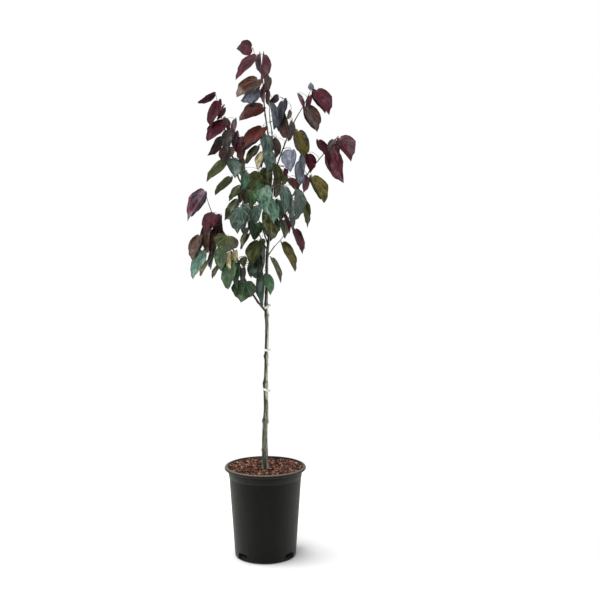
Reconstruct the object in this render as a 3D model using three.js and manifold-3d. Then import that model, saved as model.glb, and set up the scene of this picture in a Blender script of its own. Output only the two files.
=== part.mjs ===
// A young purple-leaved redbud grown as a small standard tree, standing in a dark nursery pot.
//
// Millimetres, +Z up. The origin is the centre of the pot's flat underside, which stands on the ground.
// +X is to the right and -Y towards the viewer, seen from the tree's best side.
//
// The pot is a thin shell with a rolled lip and four drain notches, filled with a bark growing medium.
// One slim trunk rises from the medium to its first fork, and three ties go round it. A leader carries on
// up through the crown, and boughs leave it for the sprays. The leaves of each spray are one closed, uneven
// mass, and a bough ends just inside the mass that it carries.

import * as THREE from "three";
import { mergeVertices } from "three/addons/utils/BufferGeometryUtils.js";
import Module from "manifold-3d";

const wasm = await Module();
wasm.setup();

// ---- driving dimensions -------------------------------------------------------------------------------

const GAP = 0.3; // clearance kept between neighbouring solids
const ROUND_SIDES = 34; // facets round the pot and the medium

const POT = {
  height: 305,
  baseRadius: 102,
  cornerRadius: 9,
  wall: 2.6,
  floor: 3.2,
  collarFoot: 268, // height where the plain wall meets the slightly wider collar
  wallTopRadius: 119.6,
  collarStep: 1.5,
  collarTopRadius: 123.6,
  lipRadius: 135,
  lipHeight: 12,
  mouthFoot: 293, // height where the inside starts to widen to the mouth
  mouthRadius: 126,
};
const DRAIN = { angles: [51, 131, 228, 312], width: 44, height: 26, sill: 2, depth: 26 };

const MEDIUM = {
  edgeHeight: 299.5,
  edgeRadius: 121.1,
  crownHeight: 302,
  flatRadius: 52, // the level round that the trunk stands on
  unevenness: 1.6,
  hollowSpan: [13, 11], // how quickly the uneven top rises and falls across and along
};

const BARK = { trunkSides: 10, boughSides: 6, ringSpacing: 34 };
const TRUNK = {
  foot: [-1, -34], // where the trunk stands, in front of the pot's middle
  footRadius: 10.4,
  rootFlare: 3.4, // how far the roots spread out beyond the foot's radius
  radius: 6.1,
  flareHeight: 18, // rise over which the root flare fades
  taperHeight: 330, // rise over which the foot's radius thins to the trunk's own
  straightRise: 30, // the upright stretch above the medium
  path: [[-1, -31, 430], [3, -29, 500], [2, -26, 580], [4, -24, 640], [5, -21, 700], [7, -18, 770],
    [4, -15, 846]], // the slight kinks at the nodes, up to the fork
};
const FORK_HEIGHT = TRUNK.path.at(-1)[2];
const TRUNK_NODES = [
  // height of each swollen node, how far it stands out, and its half length along the trunk
  { at: 462, out: 1.5, reach: 12 },
  { at: 580, out: 2.2, reach: 16 },
  { at: 674, out: 1.5, reach: 9 },
  { at: 808, out: 1.4, reach: 11 },
];
const TIE = { width: 7.5, thickness: 2.4, sides: 14 };
const TIES = [
  // height round the trunk, and how far the band leans down to the right, in degrees
  { name: "tie_lower", at: 566, lean: 26 },
  { name: "tie_middle", at: 696, lean: 8 },
  { name: "tie_upper", at: 836, lean: -24 },
];

// Each limb tapers from one radius to the other along its path and on into the mass that it carries.
const LIMBS = [
  {
    name: "leader",
    radii: [5.6, 2.0],
    path: [[4, -15, 846], [6, -12, 896], [8, -6, 1004], [15, -2, 1076], [18, 2, 1180], [23, 2, 1310],
      [12, 0, 1397], [2, -3, 1470]],
    carries: "top_spray",
  },
  {
    name: "lower_left_bough",
    radii: [3.8, 1.6],
    path: [[4, -16, 822], [-28, -18, 862], [-68, -24, 936], [-94, -30, 1008], [-128, -30, 1074],
      [-164, -26, 1132]],
    carries: "left_spray",
  },
  {
    name: "low_back_bough",
    radii: [2.8, 1.8],
    path: [[6, -12, 908], [-10, 44, 930]],
    carries: "low_back_spray",
  },
  {
    name: "lower_right_bough",
    radii: [2.2, 1.4],
    path: [[8, -6, 1000], [32, -14, 1034]],
    carries: "lower_right_spray",
  },
  {
    name: "front_left_bough",
    radii: [2.6, 1.7],
    path: [[9, -5, 1020], [-18, -66, 1076]],
    carries: "front_left_spray",
  },
  {
    name: "back_left_bough",
    radii: [2.8, 1.8],
    path: [[11, -4, 1040], [-8, 56, 1092]],
    carries: "back_left_mass",
  },
  {
    name: "front_bough",
    radii: [2.8, 1.8],
    path: [[12, -3, 1052], [20, -70, 1100]],
    carries: "front_mass",
  },
  {
    name: "back_right_bough",
    radii: [2.8, 1.8],
    path: [[15, -2, 1074], [48, 56, 1110]],
    carries: "back_right_mass",
  },
  {
    name: "back_bough",
    radii: [3.0, 1.9],
    path: [[20, -1, 1100], [20, 54, 1166], [18, 108, 1240]],
    carries: "back_top_mass",
  },
  {
    name: "right_bough",
    radii: [3.2, 1.8],
    path: [[20, 0, 1120], [76, 10, 1178], [124, 12, 1246], [166, 4, 1302]],
    carries: "right_spray",
  },
  {
    name: "upper_left_bough",
    radii: [3.2, 1.9],
    path: [[19, 0, 1140], [-42, -8, 1202], [-82, -14, 1252], [-94, -20, 1300], [-114, -28, 1360]],
    carries: "upper_left_spray",
  },
  {
    name: "upper_right_bough",
    radii: [3.0, 1.7],
    path: [[19, 2, 1172], [40, -12, 1290], [62, -26, 1354], [98, -40, 1438]],
    carries: "upper_right_spray",
  },
  {
    name: "upper_middle_bough",
    radii: [2.2, 1.5],
    path: [[23, 2, 1322], [25, 12, 1398], [19, 34, 1444]],
    carries: "upper_middle_spray",
  },
];
const SOCKET = 14; // how deep a limb ends inside the mass that it carries
const LEAST_RINGS = 4; // rings that the shortest limb still has
const PATH_STEPS = 400; // points along the trunk that a tie's place is looked up among

// Each mass: its middle, and its half width, half thickness and half height. Its top leans to the right by
// an angle and its broad side turns about the vertical by another, both in degrees. Flare is how much wider
// it is at the top than at the foot. Young leaves are purple and grown ones green.
const MASSES = [
  { name: "top_spray", middle: [-36, -10, 1568], half: [56, 34, 126],
    lean: -12, flare: -0.1, young: true },
  { name: "upper_left_spray", middle: [-146, -44, 1422], half: [62, 34, 110],
    lean: -18, turn: -14, flare: -0.1, young: true },
  { name: "upper_middle_spray", middle: [66, 66, 1456], half: [44, 36, 82], lean: -8, young: true },
  { name: "upper_right_spray", middle: [168, -54, 1488], half: [54, 34, 78],
    lean: 6, turn: 14, flare: 0.2, young: true },
  { name: "right_spray", middle: [232, -14, 1322], half: [62, 36, 76],
    lean: 10, flare: 0.3, young: true },
  { name: "middle_mass", middle: [-10, -40, 1342], half: [62, 36, 92], young: true },
  { name: "middle_right_spray", middle: [106, -62, 1328], half: [52, 34, 82],
    lean: -10, turn: 18, young: true },
  { name: "inner_left_spray", middle: [-124, -28, 1270], half: [58, 36, 64],
    lean: 12, turn: -12, flare: 0.2 },
  { name: "right_side_spray", middle: [164, 56, 1192], half: [44, 38, 92],
    lean: 12, turn: -30, flare: 0.2 },
  { name: "front_mass", middle: [22, -158, 1184], half: [86, 38, 84], turn: 8 },
  { name: "front_left_spray", middle: [-84, -134, 1158], half: [42, 38, 82], lean: 6, turn: -30 },
  { name: "left_spray", middle: [-212, -12, 1168], half: [40, 34, 52],
    lean: 24, flare: 0.2, young: true },
  { name: "drooping_spray", middle: [-196, 8, 1042], half: [46, 38, 112], lean: 8 },
  { name: "lower_left_spray", middle: [-128, -100, 986], half: [46, 36, 78], lean: -4, turn: -30 },
  { name: "low_spray", middle: [-44, -42, 958], half: [52, 36, 104], lean: -4, flare: 0.2 },
  { name: "lower_right_spray", middle: [74, -38, 1022], half: [46, 34, 94], lean: 10, flare: 0.2 },
  { name: "inner_mass", middle: [10, 62, 1102], half: [70, 36, 50] },
  { name: "back_top_mass", middle: [12, 110, 1346], half: [72, 54, 98], flare: -0.1, young: true },
  { name: "back_left_mass", middle: [-66, 124, 1196], half: [68, 56, 104], lean: -6, turn: 26 },
  { name: "back_right_mass", middle: [92, 132, 1176], half: [68, 54, 100], lean: 8, turn: -34 },
  { name: "low_back_spray", middle: [-40, 98, 982], half: [54, 50, 86], lean: -4, turn: 22, flare: 0.2 },
];
const LOBES = { count: 8, height: 0.42, sharpness: 5 }; // the lumps that the leaves raise on a mass
const MASS_DETAIL = 2; // divisions of the icosahedron that each mass starts from
const MASS_GAP = 1; // clearance between two masses

// ---- between three.js meshes and solids ---------------------------------------------------------------

/** A manifold solid from a closed geometry. */
function toSolid(geometry) {
  const bare = geometry.clone();
  bare.deleteAttribute("normal");
  bare.deleteAttribute("uv");
  const merged = mergeVertices(bare, 1e-4);
  return new wasm.Manifold(
    new wasm.Mesh({
      numProp: 3,
      vertProperties: new Float32Array(merged.attributes.position.array),
      triVerts: new Uint32Array(merged.index.array),
    }),
  );
}

/** The largest body of a manifold solid. */
function largestBody(solid) {
  return solid.decompose().sort((a, b) => b.volume() - a.volume())[0];
}

/** A geometry from a manifold solid. */
function toGeometry(solid) {
  const mesh = solid.getMesh();
  const geometry = new THREE.BufferGeometry();
  geometry.setAttribute("position", new THREE.BufferAttribute(new Float32Array(mesh.vertProperties), 3));
  geometry.setIndex(new THREE.BufferAttribute(new Uint32Array(mesh.triVerts), 1));
  geometry.computeVertexNormals();
  return geometry;
}

/** The solid with each of the others cut out of it. */
function cutBy(solid, others) {
  return others.reduce((left, other) => left.subtract(other), solid);
}

/** A repeatable source of numbers from 0 to 1, started by a name. */
function seededBy(name) {
  let state = [...name].reduce((sum, letter) => Math.imul(sum ^ letter.charCodeAt(0), 16777619), 2166136261);
  return () => {
    state = (state + 0x6d2b79f5) | 0;
    let mixed = Math.imul(state ^ (state >>> 15), 1 | state);
    mixed ^= mixed + Math.imul(mixed ^ (mixed >>> 7), 61 | mixed);
    return ((mixed ^ (mixed >>> 14)) >>> 0) / 4294967296;
  };
}

// ---- the pot and its growing medium -------------------------------------------------------------------

/** A closed geometry turned about the vertical axis from a profile of [radius, height] points. */
function turned(profile) {
  const points = profile.map(([radius, height]) => new THREE.Vector2(radius, height));
  return new THREE.LatheGeometry(points, ROUND_SIDES).rotateX(Math.PI / 2);
}

/** Points of an arc about a centre, from one angle to another in degrees. */
function arc([x, z], radius, fromAngle, toAngle, steps) {
  return Array.from({ length: steps + 1 }, (_, i) => {
    const angle = THREE.MathUtils.degToRad(fromAngle + ((toAngle - fromAngle) * i) / steps);
    return [x + radius * Math.cos(angle), z + radius * Math.sin(angle)];
  });
}

/** The pot: floor, rounded foot, tapering wall, collar and rolled lip, as one shell with drain notches. */
function pot() {
  const { height, baseRadius, cornerRadius, wall, floor, collarFoot, wallTopRadius, collarTopRadius } = POT;
  const { lipRadius, lipHeight, mouthFoot, mouthRadius } = POT;
  const lipRound = lipHeight / 2;
  const shell = turned([
    [0, 0],
    ...arc([baseRadius - cornerRadius, cornerRadius], cornerRadius, -90, 0, 3),
    [wallTopRadius, collarFoot],
    [wallTopRadius + POT.collarStep, collarFoot + POT.collarStep],
    [collarTopRadius, height - lipHeight],
    ...arc([lipRadius - lipRound, height - lipRound], lipRound, -90, 90, 4),
    [mouthRadius + wall / 2, height],
    [mouthRadius, height - wall / 2],
    [collarTopRadius - wall, mouthFoot],
    [wallTopRadius - wall, collarFoot],
    [baseRadius - wall, cornerRadius],
    [baseRadius - cornerRadius, floor],
    [0, floor],
  ]);
  return cutBy(toSolid(shell), drainNotches());
}

/** The arched blocks that cut the drain notches through the pot's foot. */
function drainNotches() {
  const { angles, width, height, sill, depth } = DRAIN;
  const shoulder = height - width / 3;
  const arch = new THREE.Shape();
  arch.moveTo(-width / 2, sill);
  arch.lineTo(width / 2, sill);
  arch.lineTo(width / 2, shoulder);
  arch.bezierCurveTo(width / 2, height, width / 4, height, 0, height);
  arch.bezierCurveTo(-width / 4, height, -width / 2, height, -width / 2, shoulder);
  const block = new THREE.ExtrudeGeometry(arch, { depth, bevelEnabled: false, curveSegments: 3 });
  block.rotateX(Math.PI / 2).translate(0, -(POT.baseRadius - depth / 2), 0);
  return angles.map((angle) => toSolid(block.clone().rotateZ(THREE.MathUtils.degToRad(angle))));
}

/** The growing medium: it fills the pot to just under the lip, level where the trunk stands. */
function growingMedium() {
  const { edgeHeight, edgeRadius, crownHeight, flatRadius, unevenness, hollowSpan } = MEDIUM;
  const footRadius = POT.baseRadius - POT.wall - GAP * 3;
  const widening = (POT.wallTopRadius - POT.baseRadius) / (POT.collarFoot - POT.cornerRadius);
  const radiusAt = (height) => footRadius + widening * (height - POT.cornerRadius);
  const fill = turned([
    [0, POT.floor + GAP],
    [footRadius - POT.cornerRadius, POT.floor + GAP],
    [radiusAt(POT.cornerRadius * 1.5), POT.cornerRadius * 1.5],
    [radiusAt(POT.collarFoot), POT.collarFoot],
    [edgeRadius, edgeHeight],
    [(edgeRadius + flatRadius) / 2, (edgeHeight + crownHeight) / 2],
    [flatRadius, crownHeight],
    [0, crownHeight],
  ]);
  const places = fill.attributes.position;
  for (let i = 0; i < places.count; i++) {
    const [x, y, z] = [places.getX(i), places.getY(i), places.getZ(i)];
    const onTop = z > edgeHeight - 1 && Math.hypot(x, y) > flatRadius + 1;
    const hollow = 1 + Math.sin(x / hollowSpan[0]) * Math.cos(y / hollowSpan[1]);
    if (onTop) places.setZ(i, z - unevenness * hollow);
  }
  return toSolid(fill);
}

// ---- limbs --------------------------------------------------------------------------------------------

/** A limb turned to its taper and then bent along a curve. radiusAt gives the radius at a share of it. */
function limb(points, radiusAt, sides) {
  const curve = new THREE.CatmullRomCurve3(points.map((p) => new THREE.Vector3(...p)), false, "centripetal");
  const rings = Math.max(LEAST_RINGS, Math.round(curve.getLength() / BARK.ringSpacing));
  const profile = Array.from({ length: rings + 1 }, (_, i) => new THREE.Vector2(radiusAt(i / rings), i));
  const closed = [new THREE.Vector2(0, 0), ...profile, new THREE.Vector2(0, rings)];
  const turnedLimb = new THREE.LatheGeometry(closed, sides);
  const frames = curve.computeFrenetFrames(rings, false);
  const places = turnedLimb.attributes.position;
  for (let i = 0; i < places.count; i++) {
    const ring = Math.round(places.getY(i));
    const place = curve
      .getPointAt(ring / rings)
      .addScaledVector(frames.normals[ring], places.getZ(i))
      .addScaledVector(frames.binormals[ring], places.getX(i));
    places.setXYZ(i, place.x, place.y, place.z);
  }
  return toSolid(turnedLimb);
}

/** The trunk's path: straight up out of the medium, then a few slight kinks at the nodes. */
function trunkPath() {
  const [x, y] = TRUNK.foot;
  const foot = MEDIUM.crownHeight + GAP;
  return [[x, y, foot], [x, y, foot + TRUNK.straightRise], ...TRUNK.path];
}

/** The trunk's radius at a share of its length: root flare, steady taper and swollen nodes. */
function trunkRadius(share) {
  const rise = share * (FORK_HEIGHT - MEDIUM.crownHeight);
  const flare = TRUNK.rootFlare * Math.exp(-rise / TRUNK.flareHeight);
  const taper = THREE.MathUtils.lerp(TRUNK.footRadius, TRUNK.radius, Math.min(1, rise / TRUNK.taperHeight));
  const swellings = TRUNK_NODES.map(({ at, out, reach }) => {
    const off = (MEDIUM.crownHeight + rise - at) / reach;
    return out * Math.exp(-(off ** 2));
  });
  return taper + flare + Math.max(...swellings);
}

/** The trunk, grown all round by a margin. */
function trunk(margin = 0) {
  return limb(trunkPath(), (share) => trunkRadius(share) + margin, BARK.trunkSides);
}

/** A bough, grown all round by a margin, that ends a little way inside the mass that it carries. */
function bough({ path, radii, carries }, margin = 0) {
  const mass = MASSES.find(({ name }) => name === carries);
  const radiusAt = (share) => THREE.MathUtils.lerp(radii[0], radii[1], share) + margin;
  const whole = limb([...path, mass.middle], radiusAt, BARK.boughSides);
  return largestBody(whole.subtract(leafMass(mass, -SOCKET - margin)));
}

/** A flat band round the trunk. */
function tie({ at, lean }) {
  const curve = new THREE.CatmullRomCurve3(trunkPath().map((p) => new THREE.Vector3(...p)));
  const centre = curve.getPoints(PATH_STEPS).find(({ z }) => z >= at);
  const share = (at - MEDIUM.crownHeight) / (FORK_HEIGHT - MEDIUM.crownHeight);
  const radius = trunkRadius(share) + TIE.thickness;
  const disc = new THREE.CylinderGeometry(radius, radius, TIE.width, TIE.sides);
  disc.rotateX(Math.PI / 2).rotateY(THREE.MathUtils.degToRad(lean));
  return toSolid(disc.translate(centre.x, centre.y, at));
}

// ---- masses of leaves ---------------------------------------------------------------------------------

/** An uneven closed mass, grown all round by a margin: a ball drawn out to size, with a lump per lobe. */
function leafMass({ name, middle, half, lean = 0, turn = 0, flare = 0.1 }, margin = 0) {
  const random = seededBy(name);
  const lobes = Array.from({ length: LOBES.count }, () =>
    new THREE.Vector3(random() - 0.5, random() - 0.5, random() - 0.5).normalize(),
  );
  const ball = new THREE.IcosahedronGeometry(1, MASS_DETAIL);
  const places = ball.attributes.position;
  const way = new THREE.Vector3();
  for (let i = 0; i < places.count; i++) {
    way.fromBufferAttribute(places, i).normalize();
    const raised = Math.max(...lobes.map((lobe) => Math.max(0, way.dot(lobe)) ** LOBES.sharpness));
    const reach = 1 + LOBES.height * (raised - 0.5);
    const widen = reach * (1 + flare * way.z);
    places.setXYZ(
      i,
      way.x * (half[0] * widen + margin),
      way.y * (half[1] * widen + margin),
      way.z * (half[2] * reach + margin),
    );
  }
  ball.rotateY(THREE.MathUtils.degToRad(lean)).rotateZ(THREE.MathUtils.degToRad(turn));
  return toSolid(ball.translate(...middle));
}

// ---- assembly -----------------------------------------------------------------------------------------

const FINISHES = {
  pot: new THREE.MeshStandardMaterial({ color: 0x232321, roughness: 0.55, metalness: 0 }),
  medium: new THREE.MeshStandardMaterial({ color: 0x6e4233, roughness: 0.95, metalness: 0 }),
  bark: new THREE.MeshStandardMaterial({ color: 0x6c6f5c, roughness: 0.85, metalness: 0 }),
  tie: new THREE.MeshStandardMaterial({ color: 0xf2f2ec, roughness: 0.5, metalness: 0 }),
  youngLeaves: new THREE.MeshStandardMaterial({ color: 0x5c2233, roughness: 0.6, metalness: 0 }),
  grownLeaves: new THREE.MeshStandardMaterial({ color: 0x3f5c4c, roughness: 0.6, metalness: 0 }),
};

const tree = new THREE.Group();

/** Adds the largest body of a solid to the tree as one named mesh. */
function add(name, solid, finish) {
  const mesh = new THREE.Mesh(toGeometry(largestBody(solid)), finish);
  mesh.name = name;
  tree.add(mesh);
}

add("pot", pot(), FINISHES.pot);
add("growing_medium", growingMedium(), FINISHES.medium);
add("trunk", trunk(), FINISHES.bark);

const cleared = [trunk(GAP)]; // what the next solid is cut back from
for (const part of LIMBS) {
  add(part.name, cutBy(bough(part), cleared), FINISHES.bark);
  cleared.push(bough(part, GAP));
}
for (const part of TIES) {
  add(part.name, cutBy(tie(part), cleared), FINISHES.tie);
}
for (const part of MASSES) {
  const finish = part.young ? FINISHES.youngLeaves : FINISHES.grownLeaves;
  add(part.name, cutBy(leafMass(part), cleared), finish);
  cleared.push(leafMass(part, MASS_GAP));
}

export default tree;
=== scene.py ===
"""The looks of a young purple-leaved redbud in its nursery pot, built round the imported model.

Metres, +Z up, with -Y towards the viewer of the tree's best side and +X to that viewer's right. The paths
of the trunk and boughs and the leaves are typed in as millimetres, which mm() turns into metres.

The pot and its growing medium come first, then the trunk and boughs with their bark and the three ties.
Twigs grow on from the boughs by a seeded rule, and the leaves hang from them on thin stalks.
"""

import logging
import math
import random
from collections.abc import Callable
from dataclasses import dataclass, field
from enum import Enum

import bmesh
import bpy
from mathutils import Matrix, Vector, noise


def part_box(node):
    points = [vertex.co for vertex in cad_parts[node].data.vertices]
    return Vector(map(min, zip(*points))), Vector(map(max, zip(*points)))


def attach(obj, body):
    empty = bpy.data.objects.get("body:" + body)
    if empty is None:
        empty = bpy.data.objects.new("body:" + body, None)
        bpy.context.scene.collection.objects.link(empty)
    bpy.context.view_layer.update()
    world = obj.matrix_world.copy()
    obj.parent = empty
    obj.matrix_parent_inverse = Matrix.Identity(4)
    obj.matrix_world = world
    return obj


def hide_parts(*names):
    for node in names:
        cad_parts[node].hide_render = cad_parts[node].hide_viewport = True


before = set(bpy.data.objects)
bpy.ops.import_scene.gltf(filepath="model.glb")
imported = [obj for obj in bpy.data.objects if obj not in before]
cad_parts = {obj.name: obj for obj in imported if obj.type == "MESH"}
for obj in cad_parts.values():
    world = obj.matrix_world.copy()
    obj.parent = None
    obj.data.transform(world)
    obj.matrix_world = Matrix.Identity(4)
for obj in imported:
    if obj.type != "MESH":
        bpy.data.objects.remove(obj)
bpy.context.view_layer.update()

log = logging.getLogger("redbud")

MM = 0.001
SEAM = 1e-6
BODY = "root"
UP = Vector((0, 0, 1))
EYE = (0, -3.5, 1.2)

Colour = tuple[int, int, int]
Place = tuple[float, float, float]
Range = tuple[float, float]
Shape = bmesh.types.BMesh
Material = bpy.types.Material
Socket = bpy.types.NodeSocket
Relief = Callable[[Vector, float, float], tuple[float, float]]


def mm(*place: float) -> Vector:
    """A place given in millimetres, in metres."""
    return Vector(place) * MM


def linear(red: int, green: int, blue: int) -> tuple[float, float, float, float]:
    """A colour given in display steps from 0 to 255, as the linear light that shaders take."""
    shares = (step / 255 for step in (red, green, blue))
    return (*(s / 12.92 if s <= 0.04045 else ((s + 0.055) / 1.055) ** 2.4 for s in shares), 1.0)


def bell(offset: float, reach: float) -> float:
    """A smooth rise to 1 at no offset, that fades over the reach."""
    return math.exp(-((offset / reach) ** 2))


@dataclass(frozen=True)
class Lumps:
    """Smooth unevenness: how far it goes up and down, and how many lumps there are to the unit."""

    depth: float
    scale: float

    def at(self, place: Vector, aside: float = 0) -> float:
        """How far it stands out at a place, or at one so many lumps aside of it."""
        return self.depth * noise.noise(place * self.scale + Vector((aside, 0, 0)))


# ---- routes and tubes ---------------------------------------------------------------------------------


class Route:
    """A smooth curve through a few places, which can be walked in even steps."""

    FINENESS = 20

    def __init__(self, places: list[Vector]) -> None:
        """Samples the curve.

        Args:
            places: the places that the curve passes through, two or more.
        """
        beyond = [places[0] * 2 - places[1], *places, places[-1] * 2 - places[-2]]
        self.samples = [places[0].copy()]
        self.marks = [0.0]
        self.reached = [0.0]
        for first in range(len(places) - 1):
            for place in self._span(*beyond[first:first + 4]):
                self.reached.append(self.reached[-1] + (place - self.samples[-1]).length)
                self.samples.append(place)
            self.marks.append(self.reached[-1])

    def _span(self, before: Vector, start: Vector, stop: Vector, after: Vector) -> list[Vector]:
        """Samples between start and stop of the centripetal curve through four places.

        Args:
            before: the place before the span.
            start: where the span starts.
            stop: where the span stops.
            after: the place after the span.

        Returns:
            The samples after start, up to and with stop.
        """
        first, middle, last = ((b - a).length ** 0.5 for a, b in
                               ((before, start), (start, stop), (stop, after)))
        leaving = (start - before) / first - (stop - before) / (first + middle) + (stop - start) / middle
        coming = (stop - start) / middle - (after - start) / (middle + last) + (after - stop) / last
        span = []
        for step in range(1, self.FINENESS + 1):
            t = step / self.FINENESS
            span.append(start * (2 * t**3 - 3 * t**2 + 1) + leaving * middle * (t**3 - 2 * t**2 + t)
                        + stop * (3 * t**2 - 2 * t**3) + coming * middle * (t**3 - t**2))
        return span

    def at(self, length: float) -> Vector:
        """The place at a length along the route.

        Args:
            length: the length walked from the route's start.

        Returns:
            The place, which is the route's end for any greater length.
        """
        for i in range(1, len(self.reached)):
            if self.reached[i] >= length:
                gap = self.reached[i] - self.reached[i - 1]
                return self.samples[i - 1].lerp(self.samples[i], (length - self.reached[i - 1]) / gap)
        return self.samples[-1].copy()

    def walk(self, start: float, stop: float, step: float) -> list[Vector]:
        """Evenly spaced places between two lengths along the route, about a step apart."""
        count = max(2, round((stop - start) / step))
        return [self.at(start + (stop - start) * i / count) for i in range(count + 1)]


def bend(start: Vector, leaving: Vector, coming: Vector, stop: Vector, count: int) -> list[Vector]:
    """Places along one curved stretch.

    Args:
        start: where it starts.
        leaving: the way and pull with which it leaves.
        coming: the way and pull with which it arrives.
        stop: where it stops.
        count: how many steps it takes.

    Returns:
        One place more than there are steps.
    """
    places = []
    for i in range(count + 1):
        t = i / count
        places.append(start * (1 - t) ** 3 + (start + leaving) * (3 * t * (1 - t) ** 2)
                      + (stop - coming) * (3 * t**2 * (1 - t)) + stop * t**3)
    return places


class Tube:
    """A closed tube round a route. Its rings are kept, so that its surface can be worked into relief.

    Its bark's colour is painted as lit from one side, with painted light on one side and painted shade on
    the other: LEAST_LIT is how much the two sides differ where they are nearly alike, MORE_LIT is how much
    more they come to differ further up, and LIT_RISE is the height that takes.
    A tube that starts off more along X than ACROSS has its angles counted from another side.
    """

    ACROSS = 0.9
    LEAST_LIT = 0.2
    MORE_LIT = 1.2
    LIT_RISE = 0.3

    def __init__(self, places: list[Vector], radii: list[float], sides: int) -> None:
        """Extrudes a ring from place to place.

        Args:
            places: where the rings stand.
            radii: the radius of each ring.
            sides: how many sides a ring has.
        """
        self.shape = bmesh.new()
        # the first layer keeps the bark's scarring and painted shade, the second its painted light and shade
        # across the wood
        self.scar_and_shade_layer = self.shape.verts.layers.float.new("scar")
        self.sides = self.shape.verts.layers.float.new("lit_side")
        self.places = places
        self.frames = self._frames(places)
        bmesh.ops.create_circle(self.shape, cap_ends=True, segments=sides, radius=radii[0],
                                matrix=self.frames[0])
        self.rings = [self.shape.verts[:]]
        edges = self.shape.edges[:]
        for i in range(1, len(places)):
            made = bmesh.ops.extrude_edge_only(self.shape, edges=edges)["geom"]
            edges = [part for part in made if isinstance(part, bmesh.types.BMEdge)]
            ring = [part for part in made if isinstance(part, bmesh.types.BMVert)]
            resized = Matrix.Scale(radii[i] / radii[i - 1], 4)
            move = self.frames[i] @ resized @ self.frames[i - 1].inverted()
            bmesh.ops.transform(self.shape, matrix=move, verts=ring)
            self.rings.append(ring)
        bmesh.ops.contextual_create(self.shape, geom=edges)
        bmesh.ops.recalc_face_normals(self.shape, faces=self.shape.faces[:])

    def _frames(self, places: list[Vector]) -> list[Matrix]:
        """Frames whose Z follows the places, carried along without twist.

        Args:
            places: the places that the tube follows.

        Returns:
            A matrix for each place.
        """
        last = len(places) - 1
        ways = [(places[min(i + 1, last)] - places[max(i - 1, 0)]).normalized() for i in range(last + 1)]
        runs_across = abs(ways[0].x) >= self.ACROSS
        guide = Vector((0, 1, 0)) if runs_across else Vector((1, 0, 0))
        side = (guide - ways[0] * guide.dot(ways[0])).normalized()
        frames = []
        for i, way in enumerate(ways):
            if i:
                side = ways[i - 1].rotation_difference(way) @ side
                side = (side - way * side.dot(way)).normalized()
            turn = Matrix((side, way.cross(side), way)).transposed().to_4x4()
            frames.append(Matrix.Translation(places[i]) @ turn)
        return frames

    def work(self, relief: Relief, even_below: float = 0) -> None:
        """Raises or sinks each point, and notes how dark its scarring and painted shade are and how it is
        painted lit.

        Args:
            relief: from a ring's place, an angle round it in degrees and the length walked, it gives how
                far out the point moves and how dark its scarring and any painted shade are there, from 0 to
                1.
            even_below: the height below which the painted light and shade on the bark's two sides are nearly
                alike.
        """
        walked = 0.0
        for i, ring in enumerate(self.rings):
            walked += (self.places[i] - self.places[max(i - 1, 0)]).length
            inward = self.frames[i].inverted()
            for point in ring:
                flat = inward @ point.co
                angle = math.degrees(math.atan2(flat.y, flat.x))
                out, point[self.scar_and_shade_layer] = relief(self.places[i], angle, walked)
                # painted light and shade: the bark is painted lighter on one side and darker on the other,
                # more so higher up
                higher = max(0, self.places[i].z - even_below) / self.LIT_RISE
                lit = self.LEAST_LIT + self.MORE_LIT * min(1, higher)
                point[self.sides] = lit * math.cos(math.radians(angle))
                point.co += (point.co - self.places[i]).normalized() * out


def merge(whole: Shape, part: Shape) -> None:
    """Adds a part to a larger shape, and frees the part.

    Args:
        whole: the larger shape.
        part: the part, which is used up.
    """
    holder = bpy.data.meshes.new("part")
    part.to_mesh(holder)
    part.free()
    whole.from_mesh(holder)
    bpy.data.meshes.remove(holder)


def turned(profile: list[Vector], sides: int) -> Shape:
    """A closed shape spun about the upright axis.

    Args:
        profile: its outline in the XZ plane, from the axis out and back to it.
        sides: how many steps the spin takes.

    Returns:
        The shape, with its faces pointing out.
    """
    shape = bmesh.new()
    points = [shape.verts.new(place) for place in profile]
    edges = [shape.edges.new(pair) for pair in zip(points, points[1:])]
    bmesh.ops.spin(shape, geom=points + edges, cent=(0, 0, 0), axis=(0, 0, 1), angle=math.tau,
                   steps=sides, use_merge=True)
    bmesh.ops.remove_doubles(shape, verts=shape.verts[:], dist=SEAM)
    bmesh.ops.dissolve_degenerate(shape, edges=shape.edges[:], dist=SEAM / 10)
    bmesh.ops.recalc_face_normals(shape, faces=shape.faces[:])
    return shape


def arc(centre: Vector, radius: float, start: float, stop: float, steps: int) -> list[Vector]:
    """Places on an arc in the XZ plane, between two angles in degrees."""
    angles = (math.radians(start + (stop - start) * i / steps) for i in range(steps + 1))
    return [centre + Vector((math.cos(a), 0, math.sin(a))) * radius for a in angles]


def put(name: str, shape: Shape, finishes: list[Material],
        nodes: tuple[str, ...] = (), crease: float = 60) -> bpy.types.Object:
    """Turns a shape into a finished piece of the tree.

    Args:
        name: the piece's name.
        shape: its mesh, which is used up.
        finishes: the materials, in the order of the faces' material numbers.
        nodes: the CAD nodes that it stands for.
        crease: the angle in degrees past which an edge is left sharp.

    Returns:
        The piece.
    """
    mesh = bpy.data.meshes.new(name)
    shape.to_mesh(mesh)
    shape.free()
    for finish in finishes:
        mesh.materials.append(finish)
    mesh.shade_smooth()
    mesh.set_sharp_from_angle(angle=math.radians(crease))
    piece = bpy.data.objects.new(name, mesh)
    bpy.context.scene.collection.objects.link(piece)
    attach(piece, BODY)
    if nodes:
        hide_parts(*nodes)
    log.info("%s: %d faces", name, len(mesh.polygons))
    return piece


# ---- finishes -----------------------------------------------------------------------------------------


@dataclass(frozen=True)
class Clouds:
    """Cloudy noise with so many clouds to the metre, of which a stretch is turned into start to stop."""

    scale: float
    low: float
    high: float
    start: float = 0
    stop: float = 1
    detail: float = 3


@dataclass(frozen=True)
class Grain:
    """Fine relief: cloudy noise, how deep it goes in metres, and how it is stretched along each axis."""

    scale: float
    depth: float
    detail: float = 2
    stretch: Place = (1, 1, 1)


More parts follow.
